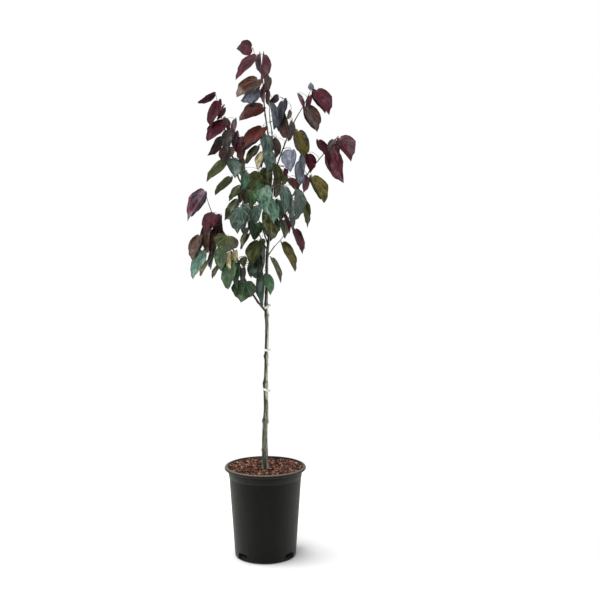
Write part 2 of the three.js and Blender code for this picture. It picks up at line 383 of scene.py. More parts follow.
class Recipe:
    """A material's nodes, written from where a pattern lies to the shader's own sockets."""

    def __init__(self, name: str, roughness: float, mirror: float) -> None:
        """Starts from a plain shader.

        Args:
            name: the material's name.
            roughness: how rough the surface is, where nothing else says.
            mirror: how strongly it mirrors.
        """
        self.material = bpy.data.materials.new(name)
        self.material.use_nodes = True
        self.tree = self.material.node_tree
        self.set("Roughness", roughness)
        self.set("Specular IOR Level", mirror)

    def feed(self, socket: Socket, value: object) -> None:
        """Links a socket to another, or sets it to a plain value.

        Args:
            socket: the socket that is fed.
            value: the other socket, or the plain value.
        """
        if isinstance(value, Socket):
            self.tree.links.new(value, socket)
        else:
            socket.default_value = value

    def set(self, socket: str, value: object) -> None:
        """Links or sets one of the shader's own sockets."""
        self.feed(self.tree.nodes["Principled BSDF"].inputs[socket], value)

    def node(self, kind: str, values: dict[int | str, object], **settings: object) -> bpy.types.Node:
        """Adds a node.

        Args:
            kind: its type, without the leading word that all shader nodes share.
            values: what each of its input sockets gets.
            settings: its own properties.

        Returns:
            The node.
        """
        made = self.tree.nodes.new("ShaderNode" + kind)
        for key, value in settings.items():
            setattr(made, key, value)
        for key, value in values.items():
            self.feed(made.inputs[key], value)
        return made

    def place(self, stretch: Place = (1, 1, 1)) -> Socket:
        """The point on the piece, stretched along each axis."""
        place = self.node("TexCoord", {}).outputs["Object"]
        return self.node("Mapping", {"Vector": place, "Scale": stretch}).outputs["Vector"]

    def noise(self, place: Socket, scale: float, detail: float = 3) -> Socket:
        """Cloudy noise from 0 to 1, with so many clouds to the metre."""
        return self.node("TexNoise", {"Vector": place, "Scale": scale, "Detail": detail}).outputs[0]

    def ranged(self, value: Socket, low: float, high: float, start: float = 0,
               stop: float = 1) -> Socket:
        """A value between low and high, smoothly turned into one between start and stop."""
        values = {"Value": value, "From Min": low, "From Max": high, "To Min": start, "To Max": stop}
        return self.node("MapRange", values, interpolation_type="SMOOTHSTEP").outputs[0]

    def clouds(self, place: Socket, kind: Clouds) -> Socket:
        """Cloudy noise of a kind."""
        noisy = self.noise(place, kind.scale, kind.detail)
        return self.ranged(noisy, kind.low, kind.high, kind.start, kind.stop)

    def attribute(self, name: str) -> Socket:
        """The share from 0 to 1 that the mesh keeps at each point under a name."""
        return self.node("Attribute", {}, attribute_name=name).outputs["Fac"]

    def worked(self, operation: str, first: object, second: object = 0.0) -> Socket:
        """The result of one sum on two values."""
        return self.node("Math", {0: first, 1: second}, operation=operation).outputs[0]

    def times(self, first: object, second: object) -> Socket:
        """The product of two values."""
        return self.worked("MULTIPLY", first, second)

    def mixed(self, share: Socket, first: Socket | Colour, second: Socket | Colour) -> Socket:
        """A colour mixed from two, with the given share of the second."""
        values = [linear(*part) if isinstance(part, tuple) else part for part in (first, second)]
        return self.node("Mix", {0: share, 6: values[0], 7: values[1]}, data_type="RGBA").outputs[2]

    def bumped(self, height: Socket, depth: float) -> None:
        """Gives the surface fine relief of a depth in metres."""
        self.set("Normal", self.node("Bump", {"Height": height, "Distance": depth}).outputs[0])

    def grained(self, grain: Grain) -> None:
        """Gives the surface a grain."""
        self.bumped(self.noise(self.place(grain.stretch), grain.scale, grain.detail), grain.depth)


@dataclass(frozen=True)
class PotFinish:
    """Matt black moulded plastic, scuffed and streaked, with dust on top of the lip, thinned at the back for
    painted shade.
    """

    plastic: Colour = (6, 6, 5)
    worn: Colour = (14, 14, 12)
    haze: float = 0.13
    haze_spread: float = 0.58
    haze_colour: Colour = (255, 253, 244)
    dust: Colour = (126, 116, 102)
    dust_heights: Range = (0.3005, 0.3045)
    dust_fades: Range = (-0.02, 0.08)
    dust_at_back: float = 0.12
    streaks: Clouds = Clouds(42, 0.42, 0.75, 0, 0.7)
    streak_stretch: Place = (1, 1, 0.12)
    patches: Clouds = Clouds(260, 0.3, 0.62, 0.45, 0.95)
    roughness: Clouds = Clouds(90, 0.3, 0.7, 0.44, 0.58)
    grain: Grain = Grain(900, 0.0002)

    def made(self) -> Material:
        """Mixes the scuffs, the streaks and the dust.

        Returns:
            The material.
        """
        recipe = Recipe("pot_plastic", roughness=0.5, mirror=0.05)
        recipe.set("Sheen Weight", self.haze)
        recipe.set("Sheen Tint", linear(*self.haze_colour))
        recipe.set("Sheen Roughness", self.haze_spread)
        place = recipe.place()
        streaks = recipe.clouds(recipe.place(self.streak_stretch), self.streaks)
        worn = recipe.mixed(streaks, self.plastic, self.worn)
        _, back, height = recipe.node("SeparateXYZ", {"Vector": place}).outputs
        # the dust is real, and its thinning towards the back paints shade on the lip's far side
        near = recipe.ranged(back, *self.dust_fades, 1, self.dust_at_back)
        settled = recipe.times(near, recipe.ranged(height, *self.dust_heights))
        dusty = recipe.times(settled, recipe.clouds(place, self.patches))
        recipe.set("Base Color", recipe.mixed(dusty, worn, self.dust))
        recipe.set("Roughness", recipe.clouds(place, self.roughness))
        recipe.grained(self.grain)
        return recipe.material


@dataclass(frozen=True)
class CrumbFinish:
    """One colour of bark granule, mottled and rough, which may be painted dark with shade low in the pot."""

    name: str
    colour: Colour
    shade: Colour
    painted_shade_below: float = 0.0
    # the colour of the painted shade low in the pot
    dark: Colour = (9, 8, 7)
    fade: float = 0.01
    mottling: Clouds = Clouds(320, 0.35, 0.65)
    grain: Grain = Grain(1400, 0.0006)

    def made(self) -> Material:
        """Mottles the colour, and paints shade over it low in the pot.

        Returns:
            The material.
        """
        recipe = Recipe(self.name, roughness=0.9, mirror=0.2)
        place = recipe.place()
        crumbs = recipe.mixed(recipe.clouds(place, self.mottling), self.colour, self.shade)
        # painted shade: near-black low in the pot, where the drain notches look into it
        if self.painted_shade_below:
            height = recipe.node("SeparateXYZ", {"Vector": place}).outputs[2]
            in_shade = recipe.ranged(height, self.painted_shade_below, self.painted_shade_below + self.fade, 1, 0)
            crumbs = recipe.mixed(in_shade, crumbs, self.dark)
        recipe.set("Base Color", crumbs)
        recipe.grained(self.grain)
        return recipe.material


@dataclass(frozen=True)
class BarkFinish:
    """Young bark, dark in painted shade on the tree's left, pale in painted light on its right, streaked,
    scarred.
    """

    name: str
    # dark, middle and pale run from painted shade to painted light across the wood
    dark: Colour
    middle: Colour
    pale: Colour
    scar: Colour = (34, 32, 26)
    dark_to_middle: Range = (-0.7, 0.1)
    middle_to_pale: Range = (0.1, 0.95)
    streak_scale: float = 240
    streak_stretch: Place = (1, 1, 0.1)
    streak_edges: Range = (0.3, 0.7)
    streak_reach: float = 0.55
    fine_scale: float = 700
    fine_share: float = 0.4
    depth: float = 0.0009

    def made(self) -> Material:
        """Blends the three colours across the wood as painted light and shade, then streaks them and darkens
        the scarring.

        Returns:
            The material.
        """
        recipe = Recipe(self.name, roughness=0.72, mirror=0.3)
        streaks = recipe.noise(recipe.place(self.streak_stretch), self.streak_scale)
        spread = recipe.ranged(streaks, *self.streak_edges, -self.streak_reach, self.streak_reach)
        # lit_side is the painted light and shade across the wood
        uneven = recipe.worked("ADD", recipe.attribute("lit_side"), spread)
        lower = recipe.mixed(recipe.ranged(uneven, *self.dark_to_middle), self.dark, self.middle)
        bark = recipe.mixed(recipe.ranged(uneven, *self.middle_to_pale), lower, self.pale)
        # the scarring is real; on the trunk this also carries the painted shade in the groove
        recipe.set("Base Color", recipe.mixed(recipe.attribute("scar"), bark, self.scar))
        fine = recipe.times(recipe.noise(recipe.place(), self.fine_scale), self.fine_share)
        recipe.bumped(recipe.worked("ADD", streaks, fine), self.depth)
        return recipe.material


@dataclass(frozen=True)
class SkinFinish:
    """A smooth skin that drifts from one colour to another, such as a twig's or a stalk's."""

    name: str
    colour: Colour
    drift: Colour
    roughness: float = 0.6
    mirror: float = 0.35
    drifting: Clouds = Clouds(30, 0.35, 0.65)
    grain: Grain = Grain(900, 0.0003, stretch=(1, 1, 0.3))

    def made(self) -> Material:
        """Drifts the colour and grains it.

        Returns:
            The material.
        """
        recipe = Recipe(self.name, self.roughness, self.mirror)
        drifted = recipe.clouds(recipe.place(), self.drifting)
        recipe.set("Base Color", recipe.mixed(drifted, self.colour, self.drift))
        recipe.grained(self.grain)
        return recipe.material


@dataclass(frozen=True)
class LeafColours:
    """The colours of one kind of leaf: its upper side, what that side is flushed with, and its underside."""

    upper: Colour
    flush: Colour
    under: Colour


class Tint(Enum):
    """The leaf colours. Each spray has its own few, which are dealt out leaf by leaf."""

    BURGUNDY = LeafColours((78, 16, 32), (98, 28, 44), (96, 54, 66))
    ROSE = LeafColours((110, 44, 60), (142, 88, 96), (140, 104, 108))
    WINE = LeafColours((70, 30, 38), (102, 40, 54), (108, 70, 82))
    # its upper colour is a painted grey sheen over the burgundy of its flush
    PLUM = LeafColours((86, 74, 90), (124, 44, 64), (150, 130, 140))
    RUSSET = LeafColours((100, 28, 22), (84, 42, 34), (98, 64, 56))
    UMBER = LeafColours((74, 58, 50), (96, 58, 50), (110, 98, 94))
    BROWN = LeafColours((108, 72, 58), (84, 70, 60), (132, 110, 96))
    SOOT = LeafColours((66, 60, 60), (90, 70, 62), (122, 118, 116))
    SLATE = LeafColours((42, 42, 50), (66, 58, 68), (100, 104, 118))
    # a pale grey leaf colour that paints the blue-white sheen of the sky on dark leaves
    SILVER = LeafColours((164, 170, 188), (102, 108, 120), (112, 120, 126))
    OLIVE = LeafColours((72, 74, 32), (56, 66, 30), (108, 118, 70))
    GOLD = LeafColours((110, 96, 38), (88, 78, 34), (128, 120, 70))
    MOSS = LeafColours((84, 92, 60), (100, 96, 58), (156, 166, 126))
    STRAW = LeafColours((240, 224, 170), (188, 176, 120), (244, 234, 196))
    GREEN = LeafColours((42, 78, 42), (60, 76, 38), (106, 136, 98))
    PINE = LeafColours((48, 72, 60), (68, 78, 66), (110, 132, 120))
    FERN = LeafColours((54, 104, 64), (80, 128, 84), (124, 156, 122))
    TEAL = LeafColours((90, 134, 114), (106, 154, 128), (164, 190, 174))
    SAGE = LeafColours((120, 142, 132), (94, 116, 108), (170, 186, 178))
    MINT = LeafColours((104, 144, 120), (68, 112, 86), (148, 172, 156))


@dataclass(frozen=True)
class SideLook:
    """How one side of a leaf mirrors, where its flush and its painted sheen lie, and how far its veins stand
    out.
    """

    mirror: float
    flush: Clouds
    painted_sheen: Clouds
    relief: float


class Side(Enum):
    """The two sides of a leaf."""

    # the second clouds of each side lie where it is flushed, the third where its sheen is painted
    UPPER = SideLook(0.3, Clouds(19, 0.42, 0.6, 0, 0.95, 2), Clouds(30, 0.46, 0.7, 0, 0.8), -0.6)
    UNDER = SideLook(0.16, Clouds(19, 0.42, 0.6, 0, 0.3, 2), Clouds(30, 0.46, 0.7, 0, 0.3), 0.8)


@dataclass(frozen=True)
class LeafFinish:
    """One side of a leaf: a soft flush and painted sheen on its colour, veins fanning out from the stalk,
    and a sheen.
    """

    tint: Tint
    side: Side
    joint: Range = (0.5, 0.1)
    scale: float = 0.86
    vein_step: float = 27
    vein_edges: Range = (0.004, 0.02)
    vein_share: float = 0.5
    rim: Range = (0.8, 1.0)
    rim_share: float = 0.8
    mottling: Clouds = Clouds(64, 0.36, 0.66, 0, 0.66, 4)
    roughness: Clouds = Clouds(60, 0.3, 0.7, 0.36, 0.54)
    swell_scale: float = 210
    swell_detail: float = 2
    swell_share: float = 0.5
    depth: float = 0.0011

    @classmethod
    def mapped(cls, place: Vector) -> tuple[float, float]:
        """Where a place on the flat blade lies on the map of it."""
        return cls.joint[0] + cls.scale * place.x, cls.joint[1] + cls.scale * place.y

    def made(self) -> Material:
        """Flushes the blade, paints sheen on it in patches and mottles it, and lays the veins over that.

        Returns:
            The material.
        """
        colours, look = self.tint.value, self.side.value
        own, flush = colours.upper, colours.flush
        if self.side is Side.UNDER:
            own, flush = colours.under, colours.upper
        name = f"leaf_{self.tint.name}_{self.side.name}".lower()
        recipe = Recipe(name, roughness=0.46, mirror=look.mirror)
        place = recipe.place()
        veins = self.veins(recipe)
        flushed = recipe.mixed(recipe.clouds(place, look.flush), own, flush)
        # painted sheen: paler patches of the underside's colour stand in for the shine of the sky on the
        # blade
        blade = recipe.mixed(recipe.clouds(place, look.painted_sheen), flushed, colours.under)
        edge = recipe.ranged(recipe.attribute("rim"), *self.rim, 0, self.rim_share)
        dark = recipe.worked("MAXIMUM", recipe.clouds(place, self.mottling), edge)
        blade = recipe.mixed(dark, blade, self.shade)
        blade = recipe.mixed(recipe.times(veins, self.vein_share), blade, colours.under)
        recipe.set("Base Color", blade)
        recipe.set("Roughness", recipe.clouds(place, self.roughness))
        swell = recipe.noise(place, self.swell_scale, self.swell_detail)
        swell = recipe.times(swell, self.swell_share)
        recipe.bumped(recipe.worked("ADD", swell, recipe.times(veins, look.relief)), self.depth)
        return recipe.material

    @property
    def shade(self) -> Colour:
        """The dark that the blade's edge and its mottling tend to: a third of its own colour."""
        red, green, blue = self.tint.value.upper
        return red // 3, green // 3, blue // 3

    def veins(self, recipe: Recipe) -> Socket:
        """Works out where the veins run.

        Args:
            recipe: the nodes of the leaf's material.

        Returns:
            How much of a vein there is at each point of the blade, from 0 to 1.
        """
        mapped = recipe.node("UVMap", {}, uv_map="blade").outputs[0]
        across, along, _ = recipe.node("SeparateXYZ", {"Vector": mapped}).outputs
        aside = recipe.worked("SUBTRACT", across, self.joint[0])
        ahead = recipe.worked("SUBTRACT", along, self.joint[1])
        angle = recipe.worked("ARCTAN2", aside, ahead)
        off = recipe.worked("PINGPONG", angle, math.radians(self.vein_step) / 2)
        squares = [recipe.worked("POWER", part, 2.0) for part in (aside, ahead)]
        reach = recipe.worked("SQRT", recipe.worked("ADD", *squares))
        return recipe.ranged(recipe.times(off, reach), *self.vein_edges, 1, 0)


class Wardrobe:
    """Makes each finish the first time that a piece asks for it."""

    def __init__(self) -> None:
        """Starts empty."""
        self.made: dict[object, Material] = {}

    def of(self, finish: object) -> Material:
        """Makes a finish, or finds it again.

        Args:
            finish: the finish.

        Returns:
            Its material.
        """
        if finish not in self.made:
            self.made[finish] = finish.made()
        return self.made[finish]


# ---- the pot and what fills it ------------------------------------------------------------------------


@dataclass
class Pot:
    """The nursery pot: tapering wall, stepped collar, rolled lip and four drain notches."""

    height: float = 0.305
    base_radius: float = 0.102
    corner_radius: float = 0.009
    wall: float = 0.0026
    floor: float = 0.0032
    recess: float = 0.0014
    collar_foot: float = 0.268
    wall_top_radius: float = 0.1196
    collar_step: float = 0.0007
    collar_top_radius: float = 0.1236
    lip_radius: float = 0.135
    lip_height: float = 0.012
    mouth_foot: float = 0.293
    mouth_radius: float = 0.126
    sides: int = 112
    drain_angles: tuple[float, ...] = (51, 131, 228, 312)
    drain_size: Place = (0.044, 0.026, 0.026)
    drain_sill: float = 0.002
    drain_round: float = 0.009
    corner_steps: int = 6
    edge_steps: int = 3
    lip_steps: int = 10
    crease: float = 38

    def profile(self) -> list[Vector]:
        """Draws the outline of the shell.

        Returns:
            Places in the XZ plane, from the middle of its underside round to the middle of its floor.
        """
        foot = Vector((self.base_radius - self.corner_radius, 0, self.corner_radius))
        lip_round, edge = self.lip_height / 2, self.wall / 2
        lip = Vector((self.lip_radius - lip_round, 0, self.height - lip_round))
        fillet = Vector((self.collar_top_radius + self.wall, 0, self.height - self.lip_height - self.wall))
        mouth = Vector((self.mouth_radius + edge, 0, self.height - edge))
        return [
            Vector((0, 0, self.recess)),
            Vector((foot.x - 2 * self.recess, 0, self.recess)),
            *arc(foot, self.corner_radius, -90, 0, self.corner_steps),
            Vector((self.wall_top_radius, 0, self.collar_foot)),
            Vector((self.wall_top_radius + self.collar_step, 0, self.collar_foot + self.collar_step)),
            *arc(fillet, self.wall, 180, 90, self.edge_steps),
            *arc(lip, lip_round, -90, 90, self.lip_steps),
            *arc(mouth, edge, 90, 180, self.edge_steps),
            Vector((self.collar_top_radius - self.wall, 0, self.mouth_foot)),
            Vector((self.wall_top_radius - self.wall, 0, self.collar_foot)),
            Vector((self.base_radius - self.wall, 0, self.corner_radius)),
            Vector((foot.x, 0, self.floor)),
            Vector((0, 0, self.floor)),
        ]

    def drains(self) -> bpy.types.Object:
        """Makes the arched blocks that cut the notches.

        Returns:
            The blocks as one object, which isn't kept.
        """
        blocks = bmesh.new()
        width, depth, top = self.drain_size
        middle = Matrix.Translation((0, -self.base_radius, (top + self.drain_sill) / 2))
        size = Matrix.Diagonal((width, depth, top - self.drain_sill, 1))
        for angle in self.drain_angles:
            block = bmesh.new()
            bmesh.ops.create_cube(block, size=1, matrix=middle @ size)
            arches = [edge for edge in block.edges if all(point.co.z > top - MM for point in edge.verts)
                      and abs(edge.verts[0].co.x - edge.verts[1].co.x) < MM]
            bmesh.ops.bevel(block, geom=arches, offset=self.drain_round, offset_type="OFFSET",
                            segments=self.corner_steps, profile=0.5, affect="EDGES", material=-1)
            turn = Matrix.Rotation(math.radians(angle), 4, "Z")
            bmesh.ops.transform(block, matrix=turn, verts=block.verts[:])
            merge(blocks, block)
        mesh = bpy.data.meshes.new("drains")
        blocks.to_mesh(mesh)
        blocks.free()
        return bpy.data.objects.new("drains", mesh)

    def build(self, wardrobe: Wardrobe) -> None:
        """Makes the pot and puts it in place of its CAD node.

        Args:
            wardrobe: where its finish comes from.
        """
        shell = turned(self.profile(), self.sides)
        piece = put("nursery_pot", shell, [wardrobe.of(PotFinish())], ("pot",), self.crease)
        drains = self.drains()
        bpy.context.scene.collection.objects.link(drains)
        cut = piece.modifiers.new("drains", "BOOLEAN")
        cut.operation = "DIFFERENCE"
        cut.object = drains
        cut.solver = "EXACT"
        bpy.context.view_layer.update()
        shown = piece.evaluated_get(bpy.context.evaluated_depsgraph_get())
        whole = piece.data
        piece.data = bpy.data.meshes.new_from_object(shown)
        piece.modifiers.clear()
        bpy.data.objects.remove(drains)
        bpy.data.meshes.remove(whole)
        piece.data.name = piece.name
        piece.data.set_sharp_from_angle(angle=math.radians(self.crease))


@dataclass
class GrowingMedium:
    """The bark growing medium: an uneven bed, and loose granules strewn over its top.

    The higher few_long is, the more of the granules are short. Their corners are moved in or out by a share
    within angular, and they tip by about tips. They lie above the bed by at most raised of their length, and
    inside the strewn circle by kept_in of it.
    """

    foot: float = 0.0038
    foot_radius: float = 0.07
    shoulder: Range = (0.0935, 0.034)
    collar_height: float = 0.268
    collar_radius: float = 0.1162
    top_radius: float = 0.1226
    top: float = 0.3
    fall: float = 0.016
    lumps: tuple[Lumps, ...] = (Lumps(0.0018, 60), Lumps(0.6 * MM, 300))
    sides: int = 72
    rings: int = 26
    # the bed is painted near-black with shade below 0.2 m, where the drain notches look in
    bed_finish: CrumbFinish = CrumbFinish("bark_mix", (58, 40, 33), (30, 21, 18), 0.2)
    trunk_place: Range = (-0.001, -0.034)
    strewn_radius: float = 0.1262
    trunk_clearance: float = 0.012
    seed: int = 7
    granules: int = 2200
    longest: float = 0.0165
    shortest: float = 0.0045
    few_long: float = 1.9
    angular: Range = (0.72, 1.18)
    breadths: Range = (0.4, 0.8)
    heights: Range = (0.25, 0.6)
    tips: Range = (0.45, 0.35)
    kept_in: float = 0.4
    raised: float = 0.25
    granule_crease: float = 20
    colours: tuple[CrumbFinish, ...] = (
        CrumbFinish("granule_red_brown", (124, 86, 70), (84, 52, 40)),
        CrumbFinish("granule_rust", (142, 92, 66), (100, 60, 44)),
        CrumbFinish("granule_dark", (56, 38, 32), (30, 22, 20)),
        CrumbFinish("granule_pink", (192, 152, 132), (144, 100, 82)),
        CrumbFinish("granule_plum_brown", (112, 78, 70), (78, 52, 46)),
    )
    shares: tuple[int, ...] = (30, 17, 22, 18, 13)

    def height(self, place: Vector) -> float:
        """How high the bed is under a place."""
        return self.top - self.fall * place.y + sum(lumps.at(place) for lumps in self.lumps)

    def bed(self) -> Shape:
        """Makes the bed.

        Returns:
            A plug that fills the pot, with an uneven top.
        """
        rings = [self.top_radius * (1 - i / self.rings) for i in range(self.rings + 1)]
        profile = [Vector((0, 0, self.foot)), Vector((self.foot_radius, 0, self.foot)),
                   Vector((self.shoulder[0], 0, self.shoulder[1])),
                   Vector((self.collar_radius, 0, self.collar_height))]
        profile += [Vector((radius, 0, self.top)) for radius in rings]
        shape = turned(profile, self.sides)
        for point in shape.verts:
            if point.co.z > self.top - MM:
                point.co.z = self.height(point.co)
        return shape

    def granule(self, chance: random.Random) -> Shape:
        """One angular granule, lying somewhere on the bed.

        Args:
            chance: where its size, place and turn are drawn from.

        Returns:
            The granule.
        """
        shape = bmesh.new()
        bmesh.ops.create_icosphere(shape, subdivisions=1, radius=0.5)
        for point in shape.verts:
            point.co *= chance.uniform(*self.angular)
        length = self.shortest + (self.longest - self.shortest) * chance.random() ** self.few_long
        breadth, height = chance.uniform(*self.breadths), chance.uniform(*self.heights)
        size = Matrix.Diagonal((length, length * breadth, length * height, 1))
        rolled, pitched = (Matrix.Rotation(chance.gauss(0, tip), 4, axis)
                           for tip, axis in zip(self.tips, "XY"))
        turn = Matrix.Rotation(chance.uniform(0, math.tau), 4, "Z") @ (rolled @ pitched)
        out = (self.strewn_radius - self.kept_in * length) * math.sqrt(chance.random())
        angle = chance.uniform(0, math.tau)
        place = Vector((out * math.cos(angle), out * math.sin(angle), 0))
        trunk = Vector((*self.trunk_place, 0))
        if (place - trunk).length < self.trunk_clearance:
            place = trunk + (place - trunk).normalized() * self.trunk_clearance
        place.z = self.height(place) + chance.uniform(0, self.raised) * length
        bmesh.ops.transform(shape, matrix=Matrix.Translation(place) @ turn @ size, verts=shape.verts[:])
        kind = chance.choices(range(len(self.colours)), self.shares)[0]
        for face in shape.faces:
            face.material_index = kind
        return shape

    def build(self, wardrobe: Wardrobe) -> None:
        """Makes the bed in place of its CAD node, and the granules on it.

        Args:
            wardrobe: where the finishes come from.
        """
        put("bark_mix_bed", self.bed(), [wardrobe.of(self.bed_finish)], ("growing_medium",))
        chance = random.Random(self.seed)
        strewn = bmesh.new()
        for _ in range(self.granules):
            merge(strewn, self.granule(chance))
        finishes = [wardrobe.of(colour) for colour in self.colours]
        put("bark_granules", strewn, finishes, crease=self.granule_crease)


# ---- trunk, boughs and ties ---------------------------------------------------------------------------


@dataclass
class Bud:
    """A place on the wood that a twig or a leaf stalk can grow from."""

    place: Vector
    way: Vector
    radius: float


@dataclass
class Knot:
    """A swollen node on the trunk, or the stub of a side shoot on one side of it."""

    height: float
    out: float
    reach: float
    angle: float | None = None
    spread: float = 40

    def raised(self, height: float, angle: float) -> float:
        """Says how far the knot stands out at one point of the trunk.

        Args:
            height: the height of the point.
            angle: its angle round the trunk, in degrees.

        Returns:
            A share of the knot's full size, from 0 to 1.
        """
        share = bell(height - self.height, self.reach)
        if self.angle is None:
            return share
        turn = (angle - self.angle + 180) % 360 - 180
        return share * bell(turn, self.spread)


@dataclass
class Trunk:
    """The trunk, from the medium up to its first fork, along a path in millimetres.

    A groove rises from its foot with a rib on either side, and is darkened with painted shade. The higher
    lumps_along is, the shorter are the lumps of its bark. Below plain_below its painted light and shade are
    nearly alike on its two sides.
    """

    path: tuple[Place, ...] = (
        (-1, -34, 298), (-1, -34, 332), (-1, -31, 430), (3, -29, 500), (2, -26, 580), (4, -24, 640),
        (5, -21, 700), (7, -18, 770), (4, -15, 846))
    foot_radius: float = 0.0104
    radius: float = 0.0061
    root_flare: float = 0.0026
    flare_height: float = 0.018
    taper_height: float = 0.33
    knots: tuple[Knot, ...] = (
        Knot(0.462, 0.0014, 0.010), Knot(0.580, 0.0021, 0.014), Knot(0.674, 0.0014, 0.008),
        Knot(0.808, 0.0013, 0.010), Knot(0.462, 0.0019, 0.006, 175), Knot(0.460, 0.0017, 0.005, -8),
        Knot(0.366, 0.0022, 0.005, 184), Knot(0.588, 0.0018, 0.008, 178), Knot(0.676, 0.0020, 0.005, 182),
        Knot(0.648, 0.0016, 0.005, 4), Knot(0.810, 0.0020, 0.005, 0), Knot(0.528, 0.0015, 0.005, -80),
        Knot(0.742, 0.0014, 0.005, -96), Knot(0.402, 0.0013, 0.006, 92), Knot(0.618, 0.0016, 0.006, 80),
        Knot(0.770, 0.0015, 0.006, 110))
    lumps_along: float = 9
    lumps: tuple[Lumps, ...] = (Lumps(0.00055, 2.6), Lumps(0.0003, 7))
    groove_angle: float = -88
    groove_spread: float = 22
    groove_depth: float = 0.0046
    groove_height: float = 0.06
    rib_angle: float = 62
    rib_spread: float = 34
    rib_depth: float = 0.0018
    rib_height: float = 0.03
    knot_dark: float = 0.85
    # painted shade that darkens the groove at the trunk's foot
    groove_shade: float = 1.1
    # painted shade darkens the trunk's left and painted light pales its right
    bark: BarkFinish = BarkFinish("trunk_bark", (34, 36, 28), (98, 100, 84), (206, 202, 182))
    plain_below: float = 0.4
    sides: int = 30
    ring_spacing: float = 0.0032

    def route(self) -> Route:
        """The curve that the trunk follows."""
        return Route([mm(*place) for place in self.path])

    def rise(self, height: float) -> float:
        """How far above its foot a height is."""
        return height - mm(*self.path[0]).z

    def radius_at(self, height: float) -> float:
        """Works out the trunk's radius, before knots and relief.

        Args:
            height: a height above the ground.

        Returns:
            The radius there.
        """
        rise = self.rise(height)
        taper = min(1, rise / self.taper_height)
        flare = self.root_flare * math.exp(-rise / self.flare_height)
        return self.foot_radius + (self.radius - self.foot_radius) * taper + flare

    def relief(self, place: Vector, angle: float, _walked: float) -> tuple[float, float]:
        """Works out the bark's relief at one point.

        Args:
            place: the middle of the trunk at the point's ring.
            angle: the point's angle round it, in degrees.
            _walked: the length walked along the trunk, on which its relief doesn't depend.

        Returns:
            How far out the bark stands, and how dark the scarring and the groove's painted shade are there.
        """
        out = sum(knot.out * knot.raised(place.z, angle) for knot in self.knots)
        sided = [knot.raised(place.z, angle) for knot in self.knots if knot.angle is not None]
        turn = math.radians(angle)
        spot = Vector((math.cos(turn), math.sin(turn), place.z * self.lumps_along))
        out += sum(lumps.at(spot) for lumps in self.lumps)
        rise = self.rise(place.z)
        from_groove = (angle - self.groove_angle + 180) % 360 - 180
        groove = bell(from_groove, self.groove_spread) * bell(rise, self.groove_height)
        beside = bell(abs(from_groove) - self.rib_angle, self.rib_spread)
        ribs = self.rib_depth * beside * bell(rise, self.rib_height)
        # dark sums the knots' scarring and the painted shade in the groove
        dark = self.knot_dark * max(sided) ** 2 + self.groove_shade * groove
        return out + ribs - self.groove_depth * groove, min(1, dark)

    def build(self, wardrobe: Wardrobe) -> None:
        """Makes the trunk in place of its CAD node.

        Args:
            wardrobe: where its finish comes from.
        """
        route = self.route()
        places = route.walk(0, route.reached[-1], self.ring_spacing)
        tube = Tube(places, [self.radius_at(place.z) for place in places], self.sides)
        tube.work(self.relief, self.plain_below)
        put("trunk_wood", tube.shape, [wardrobe.of(self.bark)], ("trunk",))


@dataclass
class Bough:
    """One tapering limb, and the shoot that carries on from it through its spray.

    Its radii, its path and its shoot are in millimetres. It has a collar where it leaves the wood, then a
    swollen node at even distances, darker on one side, and it is bare of buds over its first few rings.
    """

    node: str
    radii: Range
    path: list[Place]
    shoot: list[Place]
    # the boughs' bark is painted dark in shade on one side and pale in light on the other
    bark: BarkFinish = BarkFinish("bough_bark", (38, 38, 32), (72, 70, 60), (124, 120, 106))
    sides: int = 12
    ring_spacing: float = 0.0042
    node_spacing: float = 0.041
    node_reach: float = 0.0045
    node_out: float = 0.0006
    node_dark: float = 0.8
    collar_out: float = 0.35
    collar_reach: float = 0.006
    lumps: Lumps = Lumps(0.00025, 400)
    lump_angle: float = 40
    bare: int = 3

    def route(self) -> tuple[Route, float]:
        """The curve that it and its shoot follow, and the length at which the shoot takes over."""
        route = Route([mm(*place) for place in self.path + self.shoot])
        return route, route.marks[len(self.path) - 1]

    def relief(self, place: Vector, angle: float, walked: float) -> tuple[float, float]:
        """Works out the bark's relief at one point.

        Args:
            place: the middle of the bough at the point's ring.
            angle: the point's angle round it, in degrees.
            walked: the length walked along the bough.

        Returns:
            How far out the bark stands, and how dark its scarring is there.
        """
        from_node = (walked + self.node_spacing / 2) % self.node_spacing - self.node_spacing / 2
        swelling = bell(from_node, self.node_reach)
        side = math.cos(math.radians(angle) + round(walked / self.node_spacing) * math.pi)
        base = self.radii[0] * MM * self.collar_out * math.exp(-walked / self.collar_reach)
        rough = self.lumps.at(place, angle / self.lump_angle)
        out = base + rough + self.node_out * swelling * (1 + side)
        return out, self.node_dark * swelling * max(0, side)

    def build(self, wardrobe: Wardrobe) -> list[Bud]:
        """Makes the bough in place of its CAD node.

        Args:
            wardrobe: where its finish comes from.

        Returns:
            The places along it that twigs and stalks can grow from, past a bare stretch at its foot.
        """
        route, reach = self.route()
        start, stop = (radius * MM for radius in self.radii)
        places = route.walk(0, reach, self.ring_spacing)
        radii = [start + (stop - start) * i / (len(places) - 1) for i in range(len(places))]
        tube = Tube(places, radii, self.sides)
        tube.work(self.relief)
        put(f"{self.node}_wood", tube.shape, [wardrobe.of(self.bark)], (self.node,))
        ways = [(b - a).normalized() for a, b in zip(places, places[1:])]
        return [Bud(*bud) for bud in list(zip(places, ways, radii))[self.bare:]]


